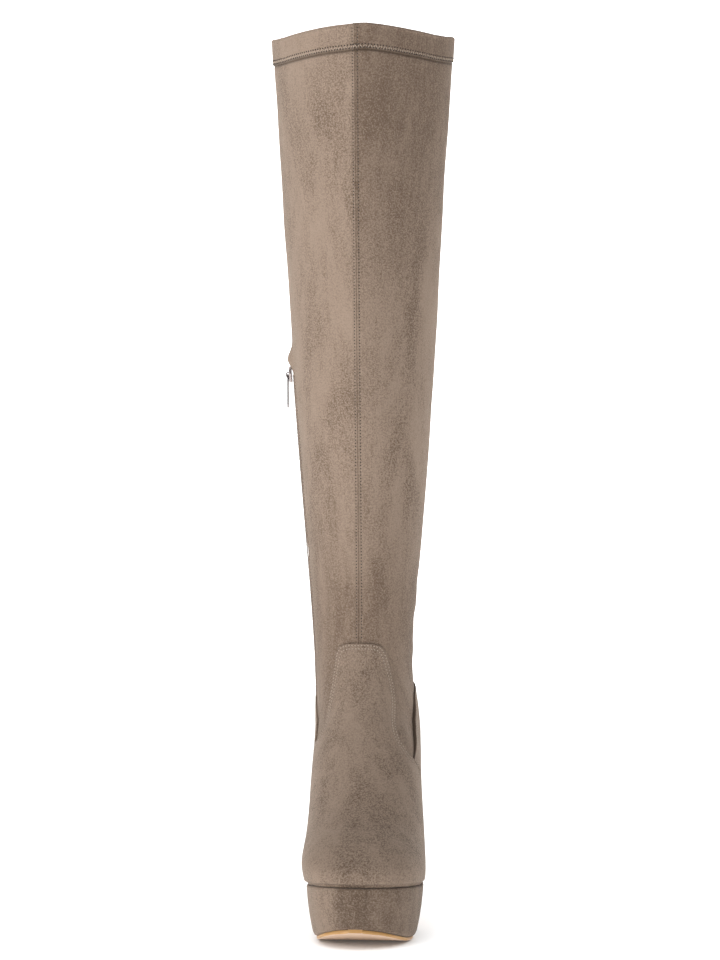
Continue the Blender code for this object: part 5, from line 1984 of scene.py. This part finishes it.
# %% Collect the seam lines
SEAM_END = TONGUE_ROWS[0][0] * ANKLE_HEIGHT + 0.0015
BACK_SEAM_END = 0.192
ZIP_STITCH = ZIP_LIP_AT + ZIP_STITCH_OUT
ZIP_STITCH_TOP = ZIP_TOP + 0.002
ZIP_STITCH_END = 0.1935
HEM_PIN_AT = 0.0013
VAMP_MIDDLE = (0.005, -0.04, 0.12)
QUARTER_MIDDLE = (0.0, 0.07, 0.15)
HEM_STITCH = HEIGHT - HEM_HEIGHT + HEM_STITCH_UP


def leg_line(arc_of_row, first, last):
    """Line down the leg at a distance round each ring, between two heights."""
    points, normals = [], []
    for row in range(len(RINGS)):
        arcs = LEG_ARCS[row]
        want = arc_of_row(row)
        p = np.array([np.interp(want, arcs, LEG_POINTS[row, :, k]) for k in range(3)])
        if last <= p[2] <= first:
            points.append(p)
            normals.append(LEG_NORMALS[row, np.argmin(np.abs(arcs - want))])
    return laid(points, normals), np.array(normals)


def at_front(offset):
    return lambda row: offset


def at_back(offset):
    return lambda row: (LEG_HALF[row, 0] - offset) if offset > 0 else (LEG_ARCS[row, 0]
                                                                       - offset)


def at_zip(offset):
    return lambda row: LEG_ARCS[row, 0] - LEG_ZIP[row, 0] + offset


def hem_line(above=0.0):
    """Ring round the leg at the hem's stitch height."""
    row = int(np.argmin(np.abs(LEG_LEVEL[:, 0] - HEM_STITCH - above)))
    points = np.concatenate((LEG_POINTS[row], LEG_POINTS[row, :1]))
    normals = np.concatenate((LEG_NORMALS[row], LEG_NORMALS[row, :1]))
    return laid(points, normals), normals


top = HEIGHT - 0.003
seam_lines = [leg_line(at_front(side * SEAM_HALF), top, SEAM_END) for side in (-1, 1)]
seam_lines += [leg_line(at_back(side * SEAM_HALF), top, BACK_SEAM_END) for side in (-1, 1)]
zip_lines = [leg_line(at_zip(side * ZIP_STITCH), ZIP_STITCH_TOP, ZIP_STITCH_END)
             for side in (-1, 1)]
edge_lines = []
for distance in EDGE_ROWS:
    edge_lines += inside_rows(VAMP_EDGE[0], distance, VAMP_MIDDLE)
    for edge in (QUARTER_INNER_EDGE, QUARTER_OUTER_EDGE):
        edge_lines += inside_rows(np.array(edge), distance, QUARTER_MIDDLE)
print("lines", len(seam_lines), len(zip_lines), len(edge_lines))

# %% Sew
THREAD = thread("taupe_thread", (0.56, 0.45, 0.36), (0.34, 0.27, 0.21))
SEAM_THREAD = thread("seam_thread", (0.46, 0.36, 0.29), (0.30, 0.23, 0.18))
# painted shade: very dark beads at the needle holes
HOLE_SHADE = thread("needle_hole_shade", (0.050, 0.036, 0.027), (0.030, 0.021, 0.016))
PITCH = 0.0025
BEAD = {"Pitch": PITCH, "Length": 0.0016, "Width": 0.00095, "Height": 0.00065}
PIN = {"Pitch": PITCH, "Length": 0.0014, "Width": 0.0014, "Height": 0.0007,
       "Shift": PITCH / 2}
EDGE_PIN = {"Pitch": PITCH, "Length": 0.0011, "Width": 0.0011, "Height": 0.0005,
            "Shift": PITCH / 2}
ZIGZAG = {"Pitch": 0.0021, "Length": 0.0036, "Width": 0.00075, "Height": 0.0007,
          "Lean": math.radians(57)}
sewn = [bead_mesh("seam_beads", seam_lines, SEAM_THREAD, BEAD),
        bead_mesh("zip_beads", zip_lines, SEAM_THREAD, BEAD),
        bead_mesh("edge_beads", edge_lines, THREAD, BEAD),
        bead_mesh("hem_beads", [hem_line()], THREAD, ZIGZAG)]
hem_pins = [hem_line(side * HEM_PIN_AT) for side in (-1, 1)]
holes = [bead_mesh("holes", seam_lines + zip_lines + hem_pins, HOLE_SHADE, PIN),
         bead_mesh("edge_holes", edge_lines, HOLE_SHADE, EDGE_PIN)]
declare(joined("stitches", sewn), "boot", "suede")
declare(joined("needle_hole_shades", holes), "boot", "suede")

# %% [markdown]
# Metal and rubber
#
# The slider and its tab are nickel plated, a little warm and worn dull at the edges, and the
# heel's top piece is hard dark rubber. Their solids already have the true shape, so they only
# get a finish.

# %% Plate the slider and the tab
def plated(name, light, dark):
    n = Nodes(name)
    wear = n.curve(n.noise(900.0, 4.0, 0.6), 0.35, 0.75)
    n.colour(n.blend(wear, light, dark))
    n.link(n.curve(wear, 0.0, 1.0, 0.22, 0.42), n.shader.inputs["Roughness"])
    n.normal(n.bump(wear, 0.15, 0.0001))
    n.put("Metallic", 1.0)
    return n.material


def hard_rubber():
    n = Nodes("top_piece_rubber")
    grit = n.noise(1300.0, 3.0, 0.6)
    n.colour(n.blend(grit, (0.055, 0.048, 0.042), (0.022, 0.019, 0.017)))
    n.normal(n.bump(grit, 0.4, 0.0003))
    n.put("Roughness", 0.7)
    return n.material


def dress_node(name, made_of):
    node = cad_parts[name]
    node.data.materials.clear()
    node.data.materials.append(made_of)
    print(name, "wears", made_of.name)


dress_node("zip_slider", plated("slider_nickel", (0.50, 0.44, 0.42), (0.24, 0.20, 0.19)))
dress_node("pull_tab", plated("tab_nickel", (0.15, 0.112, 0.108), (0.075, 0.056, 0.054)))
dress_node("heel_tip", hard_rubber())
